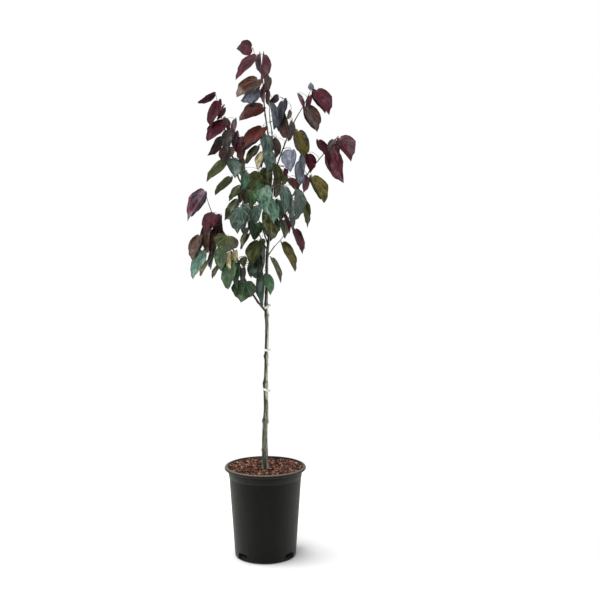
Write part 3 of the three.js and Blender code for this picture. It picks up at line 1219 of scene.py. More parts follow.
BOUGHS = [
    Bough("leader", (5.6, 2.3),
          [(4, -15, 844), (6, -12, 896), (8, -6, 1004), (15, -2, 1076), (18, 2, 1180),
           (23, 2, 1310), (12, 0, 1397), (2, -3, 1470)],
          [(-2, -4, 1521), (-4, -6, 1562), (-11, -8, 1612), (-24, -8, 1640), (-32, -10, 1655)],
          # the leader's bark, also painted dark in shade on one side and pale in light on the other
          bark=BarkFinish("leader_bark", (34, 33, 26), (84, 84, 74), (150, 148, 134))),
    Bough("lower_left_bough", (3.8, 1.7),
          [(4, -16, 822), (-28, -18, 862), (-68, -24, 936), (-94, -30, 1008), (-128, -30, 1074),
           (-164, -26, 1132)],
          [(-180, -18, 1172), (-190, -14, 1206)]),
    Bough("low_back_bough", (2.8, 1.8), [(6, -12, 908), (-10, 44, 930)],
          [(-34, 96, 968), (-52, 134, 1020)]),
    Bough("lower_right_bough", (2.2, 1.4), [(8, -6, 1000), (32, -14, 1034)],
          [(56, -28, 1062), (76, -38, 1098), (95, -42, 1130)]),
    Bough("front_left_bough", (2.6, 1.7), [(9, -5, 1020), (-18, -66, 1076)],
          [(-52, -112, 1140), (-76, -132, 1200)]),
    Bough("back_left_bough", (2.8, 1.8), [(11, -4, 1040), (-8, 56, 1092)],
          [(-38, 118, 1160), (-60, 150, 1236)]),
    Bough("front_bough", (2.8, 1.8), [(12, -3, 1052), (20, -70, 1100)],
          [(22, -126, 1156), (26, -152, 1226)]),
    Bough("back_right_bough", (2.8, 1.8), [(15, -2, 1074), (48, 56, 1110)],
          [(78, 118, 1156), (104, 150, 1218)]),
    Bough("back_bough", (3.0, 1.9), [(20, -1, 1100), (20, 54, 1166), (18, 108, 1240)],
          [(16, 134, 1310), (8, 146, 1392)]),
    Bough("right_bough", (3.2, 1.9),
          [(20, 0, 1120), (76, 10, 1178), (124, 12, 1246), (166, 4, 1302)],
          [(192, -8, 1334), (216, -14, 1366), (236, -12, 1388)]),
    Bough("upper_left_bough", (3.2, 2.0),
          [(19, 0, 1140), (-42, -8, 1202), (-82, -14, 1252), (-94, -20, 1300), (-114, -28, 1360)],
          [(-128, -38, 1416), (-142, -48, 1470), (-152, -52, 1514)]),
    Bough("upper_right_bough", (3.0, 1.8),
          [(19, 2, 1172), (40, -12, 1290), (62, -26, 1354), (98, -40, 1438)],
          [(124, -50, 1482), (146, -56, 1528)]),
    Bough("upper_middle_bough", (2.2, 1.5), [(23, 2, 1322), (25, 12, 1398), (19, 34, 1444)],
          [(17, 43, 1483), (24, 45, 1514), (52, 50, 1520)]),
]


@dataclass
class Tie:
    """A soft plastic tie: a flat band round the trunk, with its loose end standing off to the right.

    It lies over the bark's relief in the share over_bark, and off it by off_bark of half its thickness.
    """

    node: str
    height: float
    lean: float
    tail: float
    half_width: float = 0.0038
    half_thickness: float = 0.0010
    section_sides: int = 12
    steps: int = 44
    curl: float = 75
    curl_steps: int = 10
    over_bark: float = 0.8
    off_bark: float = 0.6
    finish: SkinFinish = SkinFinish("tie_plastic", (240, 240, 236), (208, 208, 202), 0.45, 0.5,
                                    Clouds(160, 0.4, 0.8), Grain(300, 0.0005, 3, (1, 1, 3)))

    def section(self, radius: float) -> Shape:
        """Makes the band's flat rounded section.

        Args:
            radius: how far to the right of the axis it stands.

        Returns:
            One closed face.
        """
        shape = bmesh.new()
        upright = Matrix.Rotation(math.radians(90), 4, "X")
        bmesh.ops.create_circle(shape, cap_ends=True, segments=self.section_sides, radius=1, matrix=upright)
        flat = Matrix.Diagonal((self.half_thickness, 1, self.half_width, 1))
        bmesh.ops.transform(shape, matrix=Matrix.Translation((radius, 0, 0)) @ flat, verts=shape.verts[:])
        return shape

    def band(self, radius: float) -> Shape:
        """Makes the closed band.

        Args:
            radius: its radius.

        Returns:
            The band.
        """
        shape = self.section(radius)
        bmesh.ops.delete(shape, geom=shape.faces[:], context="FACES_ONLY")
        bmesh.ops.spin(shape, geom=shape.verts[:] + shape.edges[:], cent=(0, 0, 0), axis=(0, 0, 1),
                       angle=math.tau, steps=self.steps, use_merge=True)
        bmesh.ops.remove_doubles(shape, verts=shape.verts[:], dist=SEAM)
        bmesh.ops.recalc_face_normals(shape, faces=shape.faces[:])
        return shape

    def end(self, radius: float) -> Shape:
        """Makes the loose end, which curls off the band.

        Args:
            radius: the radius of the band.

        Returns:
            The end.
        """
        shape = self.section(radius)
        middle = (radius + self.tail, 0, 0)
        bmesh.ops.spin(shape, geom=shape.faces[:], cent=middle, axis=(0, 0, 1),
                       angle=-math.radians(self.curl), steps=self.curl_steps)
        bmesh.ops.recalc_face_normals(shape, faces=shape.faces[:])
        return shape

    def build(self, trunk: Trunk, wardrobe: Wardrobe) -> None:
        """Makes the tie in place of its CAD node.

        Args:
            trunk: the trunk that it goes round.
            wardrobe: where its finish comes from.
        """
        route = trunk.route()
        places = route.walk(0, route.reached[-1], 2 * MM)
        centre = min(places, key=lambda place: abs(place.z - self.height))
        angles = range(0, 360, 15)
        relief = max(trunk.relief(Vector((0, 0, self.height)), angle, 0)[0] for angle in angles)
        radius = trunk.radius_at(self.height) + max(0, relief) * self.over_bark
        radius += self.half_thickness * self.off_bark
        shape = self.band(radius)
        merge(shape, self.end(radius))
        lean = Matrix.Rotation(math.radians(self.lean), 4, "Y")
        stand = Matrix.Translation((centre.x, centre.y, self.height))
        bmesh.ops.transform(shape, matrix=stand @ lean, verts=shape.verts[:])
        put(f"{self.node}_band", shape, [wardrobe.of(self.finish)], (self.node,))


TIES = [
    Tie("tie_lower", 0.566, 26, 0.011),
    Tie("tie_middle", 0.696, 8, 0.009),
    Tie("tie_upper", 0.836, -24, 0.012),
]


# ---- the crown ----------------------------------------------------------------------------------------


@dataclass
class Leaf:
    """One leaf: where its stalk meets the blade, which way the blade runs and faces, and how it folds.

    ARCHED is how much longer a blade is than it looks. Sides that differ by less than EVEN look alike.
    """

    ARCHED = 1.03
    EVEN = 0.1
    LEAST_FOLD = math.radians(14)

    joint: Vector
    way: Vector
    face: Vector
    length: float
    tint: Tint
    fold: float
    widening: float

    @classmethod
    def seen(cls, joint: Vector, tip: Vector, breadths: Range, lean: float, tint: Tint) -> "Leaf":
        """A leaf that looks as given from the tree's best side.

        Args:
            joint: where the stalk meets the blade.
            tip: where the tip is seen, from the joint.
            breadths: how far the blade is seen to reach to the left and to the right of its midrib.
            lean: how far the tip comes towards the viewer, in degrees.
            tint: its colours.

        Returns:
            The leaf.
        """
        leaned = math.radians(lean)
        length = cls.ARCHED * tip.length / math.cos(leaned)
        way = tip.normalized() * math.cos(leaned) + Vector((0, -math.sin(leaned), 0))
        half = length * Blade.width / 2
        widening = max(1, max(breadths) / half)
        left, right = (math.acos(min(1, breadth / (half * widening))) for breadth in breadths)
        side = math.copysign(1, right - left if abs(left - right) > cls.EVEN else -joint.x)
        fold = max(abs(left - right) / 2, cls.LEAST_FOLD)
        turn = math.acos(min(1, sum(breadths) / (2 * half * widening * math.cos(fold))))
        front = Vector((0, -1, 0))
        face = Matrix.Rotation(side * turn, 3, way) @ (front - way * front.dot(way)).normalized()
        off = side * half * widening * math.sin(turn) * math.sin(fold)
        aside = tip.normalized().cross(front) * ((breadths[0] - breadths[1]) / 2 - off)
        return cls(joint + aside, way, face, length, tint, fold, widening)

    def corners(self) -> list[Vector]:
        """Finds the places that tell how far the leaf reaches.

        Returns:
            Its joint, its tip and the middle of each of its sides.
        """
        across = self.way.cross(self.face) * self.length * Blade.width * self.widening / 2
        middle = self.joint + self.way * self.length / 2
        return [self.joint, self.joint + self.way * self.length, middle - across, middle + across]


@dataclass
class Blade:
    """The heart-shaped blade that every leaf is cut from, flat, with its stalk's joint at the origin."""

    outline: tuple[float, ...] = (0.622, 0.518, 0.468, 0.46, 0.476, 0.5, 0.507, 0.5, 0.488, 0.45, 0.37)
    middle: float = 0.38
    insets: Range = (0.34, 0.33)
    width: float = 0.87
    thickness: float = 0.0005
    raggedness: float = 0.032
    cups: Range = (-14, 6)
    arches: Range = (0.01, 0.07)
    ripples: Range = (0.006, 0.018)
    waves: tuple[int, ...] = (3, 4, 5)
    droop: float = 2.5

    def flat(self) -> bpy.types.Mesh:
        """Makes the flat blade, one unit long.

        Returns:
            Its mesh, with a map of where each point lies on it.
        """
        shape = bmesh.new()
        rims = shape.verts.layers.float.new("rim")
        layer = shape.loops.layers.uv.new("blade")
        sides = 2 * (len(self.outline) - 1)
        bmesh.ops.create_circle(shape, cap_ends=True, segments=sides, radius=1)
        inner = shape.faces[:]
        for inset in self.insets:
            bmesh.ops.inset_individual(shape, faces=inner, thickness=inset, use_even_offset=True)
            inner = [face for face in shape.faces if len(face.verts) == sides]
        bmesh.ops.poke(shape, faces=inner)
        for point in shape.verts:
            from_tip = abs(math.atan2(point.co.x, point.co.y))
            reach = self.outline[round(from_tip / math.tau * sides)]
            point[rims] = point.co.length
            point.co = Vector((point.co.x * reach, point.co.y * reach + self.middle, 0))
        for face in shape.faces:
            for corner in face.loops:
                corner[layer].uv = LeafFinish.mapped(corner.vert.co)
        mesh = bpy.data.meshes.new("flat_blade")
        shape.to_mesh(mesh)
        shape.free()
        return mesh

    def grown(self, flat: bpy.types.Mesh, leaf: Leaf, slots: tuple[int, int],
              chance: random.Random) -> Shape:
        """A leaf, folded along its midrib, arched to its tip and rippled at its edge.

        Args:
            flat: the flat blade.
            leaf: the leaf.
            slots: the material numbers of its upper side and its underside.
            chance: where its bends are drawn from.

        Returns:
            The leaf, in its place.
        """
        cup = math.radians(chance.uniform(*self.cups))
        arch = leaf.length * chance.uniform(*self.arches)
        ripple = leaf.length * chance.uniform(*self.ripples)
        waves, phase = chance.choice(self.waves), chance.uniform(0, math.tau)
        shape = bmesh.new()
        shape.from_mesh(flat)
        for point in shape.verts:
            around = math.atan2(point.co.x, point.co.y - self.middle)
            point.co *= 1 + self.raggedness * math.sin((waves + 3) * around + 2 * phase)
            across = point.co.x * self.width * leaf.widening * leaf.length
            along = max(0, point.co.y)
            lift = leaf.fold + cup * abs(point.co.x) * 2
            wave = ripple * math.sin(waves * around + phase) * (point.co.x * 2) ** 2
            rise = abs(across) * math.sin(lift) + wave + arch * (along - along**self.droop)
            point.co = Vector((across * math.cos(lift), point.co.y * leaf.length, rise))
        for face in shape.faces:
            face.material_index = slots[0]
        under = bmesh.ops.solidify(shape, geom=shape.faces[:], thickness=self.thickness)["geom"]
        for part in under:
            if isinstance(part, bmesh.types.BMFace):
                part.material_index = slots[1]
        stand = Matrix((leaf.way.cross(leaf.face), leaf.way, leaf.face)).transposed().to_4x4()
        bmesh.ops.transform(shape, matrix=Matrix.Translation(leaf.joint) @ stand, verts=shape.verts[:])
        return shape


@dataclass
class Spray:
    """The leaves that take the place of one mass of foliage.

    Each leaf that is listed is a row, in millimetres: its joint, how far its tip is seen to the right
    of that and above it, its reach to the left and right of the midrib, its lean in degrees, and its tint.
    The rest keep at least GAP apart and STRAY or less outside the mass, and grow no longer than LONGEST.
    They turn by about TURNS, and are seen smaller than what hides them by a share within SHARES.
    """

    TRIES = 4000
    STRAY = 17 * MM
    GAP = 24 * MM
    LONGEST = 104 * MM
    TURNS = (0.05, 0.12)
    SHARES = (0.8, 0.94)
    SLIMMER = 0.95

    node: str
    leaves: list[tuple[float, float, float, float, float, float, float, float, Tint]]
    more: int
    tints: tuple[Tint, ...]

    def chosen(self) -> list[Leaf]:
        """The leaves that give the spray its outline, each listed one by one."""
        return [Leaf.seen(mm(x, y, z), mm(tip_x, 0, tip_z), (left * MM, right * MM), lean, tint)
                for x, y, z, tip_x, tip_z, left, right, lean, tint in self.leaves]

    def filled(self, chance: random.Random, eye: Vector, shown: list[Leaf]) -> list[Leaf]:
        """More leaves, drawn by the seed, which fill the spray out behind the listed ones.

        Args:
            chance: where their places and turns are drawn from.
            eye: where the tree's best side is seen from.
            shown: the listed leaves of every spray, which hide them from that side.

        Returns:
            The leaves.
        """
        low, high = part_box(self.node)
        leaves: list[Leaf] = []
        for _ in range(self.TRIES):
            leaf = self.drawn(chance.choice(shown), chance.uniform(low.y, high.y), eye, chance)
            near = any((leaf.joint - other.joint).length < self.GAP for other in leaves)
            strays = any(not a - self.STRAY < b < c + self.STRAY for place in leaf.corners()
                         for a, b, c in zip(low, place, high))
            if not (near or strays):
                leaves.append(leaf)
            if len(leaves) >= self.more:
                break
        return leaves

    def drawn(self, front: Leaf, depth: float, eye: Vector, chance: random.Random) -> Leaf:
        """One leaf drawn by the seed, which another hides from the tree's best side.

        Args:
            front: the leaf that hides it.
            depth: how far back its joint lies.
            eye: where the tree's best side is seen from.
            chance: where the rest of it is drawn from.

        Returns:
            The leaf, which faces away from the eye as the other faces it.
        """
        depth = max(depth, front.joint.y + self.GAP)
        scale = (depth - eye.y) / (front.joint.y - eye.y)
        joint = eye + (front.joint - eye) * scale
        back = Matrix.Diagonal((1, -1, 1))
        rolled, pitched = (Matrix.Rotation(chance.gauss(0, turn), 3, axis)
                           for turn, axis in zip(self.TURNS, "YX"))
        turn = rolled @ pitched
        way = (turn @ back @ front.way).normalized()
        face = turn @ back @ front.face
        face = (face - way * face.dot(way)).normalized()
        length = min(front.length * scale * chance.uniform(*self.SHARES), self.LONGEST)
        tint = chance.choice(self.tints)
        return Leaf(joint, way, face, length, tint, front.fold, front.widening * self.SLIMMER)


@dataclass
class Growth:
    """The seeded rule that grows the finer wood: each leaf draws a twig or a stalk from the nearest bud.

    A twig leaves its bud by the bud's own way in a share, rises, sways a little at each step and tapers.
    A stalk stands off the wood, lifts, arrives at its leaf from behind, and is swollen at both ends.
    """

    chance: random.Random
    buds: list[Bud]
    above_counts: float = 0.3
    twig_reach: float = 0.060
    twig_radius: float = 0.0009
    twig_sides: int = 7
    twig_step: float = 0.007
    fewest_steps: int = 4
    twig_way: float = 0.5
    twig_pulls: Range = (0.36, 0.3)
    twig_rises: Range = (0.04, 0.16)
    twig_sway: float = 0.0005
    twig_taper: Range = (1.7, 0.8)
    bud_share: float = 0.8
    stalk_length: float = 0.036
    stalk_radius: float = 0.0006
    stalk_sides: int = 6
    stalk_steps: int = 8
    stalk_stand_off: Range = (0.008, 0.004)
    stalk_way: float = 0.4
    stalk_lift: float = 0.45
    stalk_pulls: Range = (0.4, 0.36)
    stalk_arrival: Range = (0.8, 0.35)
    stalk_bite: float = 0.0012
    stalk_swellings: Range = (0.35, 0.3)
    swelling_reach: float = 1.2
    twigs: Shape = field(default_factory=bmesh.new)
    stalks: Shape = field(default_factory=bmesh.new)

    def nearest(self, place: Vector) -> Bud:
        """The bud that can best reach a place, which lies near it and not far above it."""
        return min(self.buds, key=lambda bud: (
            (bud.place - place).length + self.above_counts * max(0, (bud.place - place).z)))

    def lay(self, places: list[Vector], start: float, stop: float) -> None:
        """Adds a twig along some places, and a bud at each of them.

        Args:
            places: the places, from the wood out.
            start: its radius at the first of them.
            stop: its radius at the last.
        """
        count = len(places) - 1
        radii = [start + (stop - start) * i / count for i in range(count + 1)]
        merge(self.twigs, Tube(places, radii, self.twig_sides).shape)
        for i in range(1, count + 1):
            way = (places[i] - places[i - 1]).normalized()
            self.buds.append(Bud(places[i], way, radii[i]))

    def grow_twig(self, bud: Bud, goal: Vector) -> None:
        """Grows a twig, which rises a little and is never quite straight.

        Args:
            bud: where it grows from.
            goal: where it ends.
        """
        span = goal - bud.place
        leaving, coming = self.twig_pulls
        away = (bud.way * self.twig_way + span.normalized()).normalized() * span.length * leaving
        rise = span * coming + UP * span.length * self.chance.uniform(*self.twig_rises)
        steps = max(self.fewest_steps, round(span.length / self.twig_step))
        places = bend(bud.place, away, rise, goal, steps)
        for i in range(1, len(places) - 1):
            sway = Vector(self.chance.gauss(0, 1) for _ in range(3))
            places[i] += sway * self.twig_sway
        thick, thin = (self.twig_radius * share for share in self.twig_taper)
        self.lay(places, min(bud.radius * self.bud_share, thick), thin)

    def carry(self, leaf: Leaf) -> None:
        """Grows what holds a leaf: a stalk, and first a twig if the wood is too far away.

        Args:
            leaf: the leaf.
        """
        bud = self.nearest(leaf.joint)
        gap = leaf.joint - bud.place
        if gap.length > self.twig_reach:
            behind, above = self.stalk_stand_off
            goal = leaf.joint - gap.normalized() * self.stalk_length - leaf.way * behind + UP * above
            self.grow_twig(bud, goal)
            bud = self.buds[-1]
            gap = leaf.joint - bud.place
        pulls, (along, under) = self.stalk_pulls, self.stalk_arrival
        leaving = (bud.way * self.stalk_way + gap.normalized() + UP * self.stalk_lift).normalized()
        coming = (leaf.way * along - leaf.face * under).normalized()
        places = bend(bud.place, leaving * gap.length * pulls[0], coming * gap.length * pulls[1],
                      leaf.joint + leaf.way * self.stalk_bite, self.stalk_steps)
        merge(self.stalks, Tube(places, self.stalk_radii(), self.stalk_sides).shape)

    def stalk_radii(self) -> list[float]:
        """Works out how thick a stalk is.

        Returns:
            Its radius at each step, from the wood to its leaf.
        """
        first, last = self.stalk_swellings
        swellings = (first * bell(i, self.swelling_reach)
                     + last * bell(i - self.stalk_steps, self.swelling_reach)
                     for i in range(self.stalk_steps + 1))
        return [self.stalk_radius * (1 + swelling) for swelling in swellings]


T = Tint
SPRAYS = [
    Spray("top_spray", [
        (-40, -14, 1669, -45, -5, 26, 25, 8, T.WINE),
        (-28, -16, 1645, -67, -70, 21, 19, 0, T.WINE),
        (-21, -4, 1649, 10, -65, 11, 9, 18, T.PLUM),
        (9, -20, 1646, -11, -81, 16, 16, 18, T.ROSE),
        (-19, -16, 1568, -66, -57, 38, 16, 20, T.BROWN),
        (-14, -24, 1535, -58, -38, 17, 25, 20, T.SILVER),
        (19, -10, 1577, -14, -50, 10, 15, 18, T.UMBER),
        (8, -4, 1531, 4, -45, 10, 6, 18, T.BROWN),
        (-6, -14, 1486, -76, -44, 26, 21, 12, T.RUSSET),
        (-2, -6, 1558, -4, -66, 8, 8, 18, T.PLUM),
    ], 3, (T.PLUM, T.BROWN)),
    Spray("upper_left_spray", [
        (-155, -52, 1517, -54, -28, 5, 12, 15, T.BURGUNDY),
        (-152, -62, 1498, -22, -83, 22, 18, 18, T.BURGUNDY),
        (-122, -48, 1472, -27, -34, 3, 8, 18, T.ROSE),
        (-128, -70, 1434, -55, -62, 26, 22, 16, T.BURGUNDY),
        (-121, -76, 1442, 9, -43, 5, 12, 18, T.UMBER),
        (-97, -50, 1440, -3, -55, 12, 8, 18, T.PLUM),
        (-122, -80, 1404, 1, -68, 19, 19, 18, T.SOOT),
        (-137, -56, 1378, -40, -51, 7, 20, 20, T.SOOT),
        (-111, -60, 1353, -24, -48, 25, 21, 25, T.UMBER),
        (-78, -50, 1385, -14, -48, 15, 13, 20, T.WINE),
        (-131, -44, 1486, -18, -45, 6, 6, 18, T.ROSE),
        (-96, -46, 1401, -3, -54, 12, 12, 18, T.PLUM),
        (-74, -40, 1357, -2, -51, 15, 13, 20, T.UMBER),
    ], 5, (T.BURGUNDY, T.PLUM, T.UMBER)),
    Spray("upper_middle_spray", [
        (23, 44, 1512, 15, -100, 11, 20, 32, T.SILVER),
        (48, 40, 1516, -27, -15, 12, 11, 25, T.PLUM),
        (61, 50, 1507, -16, -97, 25, 8, 18, T.SLATE),
        (58, 42, 1454, 20, -74, 20, 15, 34, T.BROWN),
        (87, 62, 1476, -11, -29, 6, 9, 15, T.BROWN),
        (96, 50, 1437, -13, -63, 9, 11, 15, T.SLATE),
    ], 2, (T.SLATE,)),
    Spray("upper_right_spray", [
        (109, -54, 1521, 18, -50, 5, 12, 15, T.PLUM),
        (144, -46, 1515, -6, -51, 13, 5, 15, T.WINE),
        (141, -62, 1480, 31, -75, 25, 24, 18, T.UMBER),
        (149, -50, 1534, -1, 22, 10, 10, 10, T.SILVER),
        (164, -72, 1530, 38, -75, 15, 37, 18, T.BURGUNDY),
    ], 2, (T.BURGUNDY,)),
    Spray("right_spray", [
        (146, -36, 1332, 6, -57, 20, 19, 18, T.BURGUNDY),
        (179, -18, 1377, 34, -67, 12, 20, 18, T.BURGUNDY),
        (210, -26, 1348, 38, -107, 32, 17, 15, T.ROSE),
        (242, -8, 1383, 36, -71, 16, 41, 10, T.BURGUNDY),
        (231, -22, 1373, 5, -53, 15, 8, 18, T.PLUM),
        (221, -14, 1380, -17, -38, 12, 10, 18, T.SOOT),
    ], 3, (T.BURGUNDY,)),
    Spray("middle_right_spray", [
        (110, -64, 1402, 15, -87, 19, 29, 18, T.GOLD),
        (87, -60, 1342, -3, -66, 33, 17, 5, T.SILVER),
        (105, -70, 1309, 15, -73, 24, 15, 40, T.SILVER),
        (82, -56, 1254, 24, -44, 11, 17, 22, T.RUSSET),
        (138, -52, 1259, -8, -50, 13, 12, 20, T.BURGUNDY),
        (71, -44, 1284, -5, -23, 7, 8, 20, T.BURGUNDY),
    ], 4, (T.SLATE, T.OLIVE)),
    Spray("middle_mass", [
        (-10, -44, 1418, -64, -68, 27, 20, 22, T.RUSSET),
        (17, -52, 1387, -6, -69, 23, 21, 22, T.SAGE),
        (45, -30, 1379, -2, -60, 14, 12, 20, T.BROWN),
        (24, -62, 1337, -10, -63, 22, 21, 20, T.SAGE),
        (41, -60, 1298, 10, -72, 13, 13, 20, T.OLIVE),
        (-27, -36, 1359, -38, -56, 11, 12, 18, T.MOSS),
        (-11, -58, 1337, -13, -56, 12, 12, 12, T.STRAW),
        (-24, -64, 1275, -24, -60, 22, 22, 25, T.OLIVE),
        (-55, -78, 1272, -14, -57, 14, 17, 20, T.TEAL),
        (-3, -40, 1289, -6, -73, 19, 21, 20, T.MOSS),
        (68, -34, 1272, -6, -42, 11, 11, 20, T.MOSS),
        (45, -40, 1255, -5, -64, 12, 12, 18, T.MOSS),
        (13, -38, 1280, -3, -67, 10, 10, 18, T.MOSS),
        (-27, -96, 1245, -3, -60, 15, 15, 20, T.GREEN),
    ], 7, (T.OLIVE, T.PINE, T.UMBER)),
    Spray("inner_left_spray", [
        (-127, -30, 1312, -55, -66, 26, 10, 18, T.OLIVE),
        (-101, -44, 1317, 12, -60, 21, 23, 22, T.SAGE),
        (-111, -28, 1259, -48, -57, 20, 9, 18, T.OLIVE),
        (-77, -34, 1231, -36, -48, 18, 8, 18, T.MOSS),
        (-91, -40, 1189, -30, -65, 14, 10, 18, T.MOSS),
        (-63, -30, 1230, 6, -61, 16, 19, 20, T.UMBER),
        (-80, -24, 1316, 12, -61, 16, 14, 20, T.MOSS),
        (-78, -28, 1218, 3, -43, 8, 10, 18, T.MOSS),
    ], 5, (T.OLIVE, T.PINE)),
    Spray("right_side_spray", [
        (156, 30, 1260, 38, -86, 12, 33, 18, T.GOLD),
        (132, 40, 1190, 16, -90, 11, 13, 15, T.OLIVE),
    ], 8, (T.OLIVE, T.PINE, T.UMBER)),
    Spray("front_mass", [
        (-8, -168, 1223, 7, -78, 20, 23, 20, T.MINT),
        (20, -172, 1191, 15, -73, 25, 23, 24, T.MINT),
        (-28, -150, 1167, -3, -56, 19, 19, 22, T.PINE),
        (69, -156, 1227, 0, -82, 19, 19, 18, T.SAGE),
        (109, -144, 1218, -5, -94, 21, 21, 18, T.PINE),
        (48, -140, 1185, 5, -62, 14, 14, 20, T.PINE),
        (23, -132, 1138, 6, -74, 28, 27, 22, T.MOSS),
        (-43, -130, 1127, 3, -49, 11, 16, 20, T.PINE),
        (-53, -126, 1081, -27, -48, 6, 6, 15, T.PINE),
        (60, -130, 1123, 6, -57, 8, 11, 18, T.SAGE),
        (64, -134, 1145, 18, -59, 7, 9, 18, T.BURGUNDY),
        (69, -126, 1129, 1, -60, 6, 7, 18, T.MOSS),
        (-59, -118, 1100, -18, -66, 8, 7, 18, T.MOSS),
        (90, -128, 1142, 0, -48, 8, 8, 18, T.PINE),
        (88, -136, 1197, -4, -71, 11, 11, 30, T.SAGE),
        (-46, -130, 1217, 6, -56, 16, 19, 22, T.GREEN),
        (-7, -112, 1154, 6, -79, 10, 11, 18, T.MOSS),
    ], 5, (T.PINE, T.GREEN, T.TEAL)),
    Spray("front_left_spray", [
        (-78, -150, 1163, -9, -77, 30, 26, 22, T.PINE),
        (-58, -128, 1173, 12, -56, 13, 16, 26, T.SAGE),
        (-113, -120, 1158, -9, -36, 6, 9, 18, T.MOSS),
        (-61, -122, 1144, -9, -63, 13, 10, 25, T.PINE),
    ], 4, (T.GREEN, T.OLIVE, T.PINE)),
    Spray("left_spray", [
        (-191, -12, 1211, -55, -90, 37, 3, 3, T.PLUM),
        (-156, -24, 1138, -34, -60, 32, 19, 22, T.WINE),
        (-147, -18, 1130, -11, -67, 16, 12, 18, T.WINE),
    ], 2, (T.PLUM,)),
    Spray("drooping_spray", [
        (-148, -6, 1135, 10, -80, 10, 10, 15, T.SOOT),
        (-191, -14, 1109, 1, -94, 18, 18, 18, T.BROWN),
        (-213, 0, 1071, -25, -77, 24, 16, 20, T.BROWN),
        (-207, -8, 1022, -30, -87, 24, 18, 18, T.TEAL),
        (-178, 12, 1000, -35, -57, 8, 7, 34, T.STRAW),
        (-152, 16, 974, -25, -42, 7, 9, 15, T.MOSS),
        (-167, -10, 1096, -13, -86, 13, 14, 24, T.BROWN),
        (-164, 4, 1038, -18, -74, 10, 10, 28, T.SAGE),
    ], 6, (T.PLUM, T.OLIVE, T.UMBER)),
    Spray("lower_left_spray", [
        (-115, -96, 1072, -15, -51, 41, 39, 18, T.OLIVE),
        (-139, -110, 1034, -4, -72, 22, 20, 0, T.GREEN),
        (-116, -118, 1022, 3, -58, 10, 12, 18, T.STRAW),
        (-113, -122, 991, -7, -84, 26, 22, 18, T.GREEN),
        (-97, -104, 1025, -2, -54, 13, 11, 18, T.STRAW),
        (-94, -106, 986, -1, -78, 12, 12, 18, T.GREEN),
    ], 4, (T.GREEN, T.PINE)),
    Spray("low_spray", [
        (-62, -66, 924, -13, -61, 41, 37, 25, T.GREEN),
        (-74, -44, 967, 0, -52, 10, 10, 18, T.SOOT),
        (-20, -60, 1055, -22, -75, 29, 23, 28, T.OLIVE),
        (-26, -52, 1002, -7, -66, 24, 22, 28, T.PINE),
        (-19, -50, 952, 5, -105, 17, 12, 12, T.PINE),
        (-66, -48, 1001, 1, -31, 16, 8, 25, T.MOSS),
        (8, -46, 945, 11, -62, 11, 21, 18, T.FERN),
        (0, -40, 1051, -2, -98, 13, 10, 18, T.SAGE),
        (-50, -36, 977, 2, -42, 9, 10, 18, T.MOSS),
    ], 5, (T.GREEN, T.PINE)),
    Spray("lower_right_spray", [
        (28, -34, 1000, 28, -75, 7, 12, 20, T.MOSS),
        (60, -40, 1049, 40, -90, 9, 22, 15, T.GOLD),
        (97, -44, 1091, 23, -75, 6, 24, 18, T.BURGUNDY),
    ], 3, (T.OLIVE,)),
    Spray("inner_mass", [
        (-26, 30, 1110, -10, -56, 20, 20, 20, T.GREEN),
        (14, 40, 1091, 9, -41, 13, 13, 20, T.PINE),
    ], 10, (T.GREEN, T.PINE, T.OLIVE)),
    Spray("back_top_mass", [], 22, (T.BURGUNDY, T.PLUM, T.RUSSET, T.UMBER, T.SLATE)),
    Spray("back_left_mass", [], 22, (T.OLIVE, T.TEAL, T.PINE, T.UMBER)),
    Spray("back_right_mass", [], 22, (T.OLIVE, T.PINE, T.SAGE, T.GREEN)),
    Spray("low_back_spray", [], 14, (T.GREEN, T.PINE, T.OLIVE)),
]


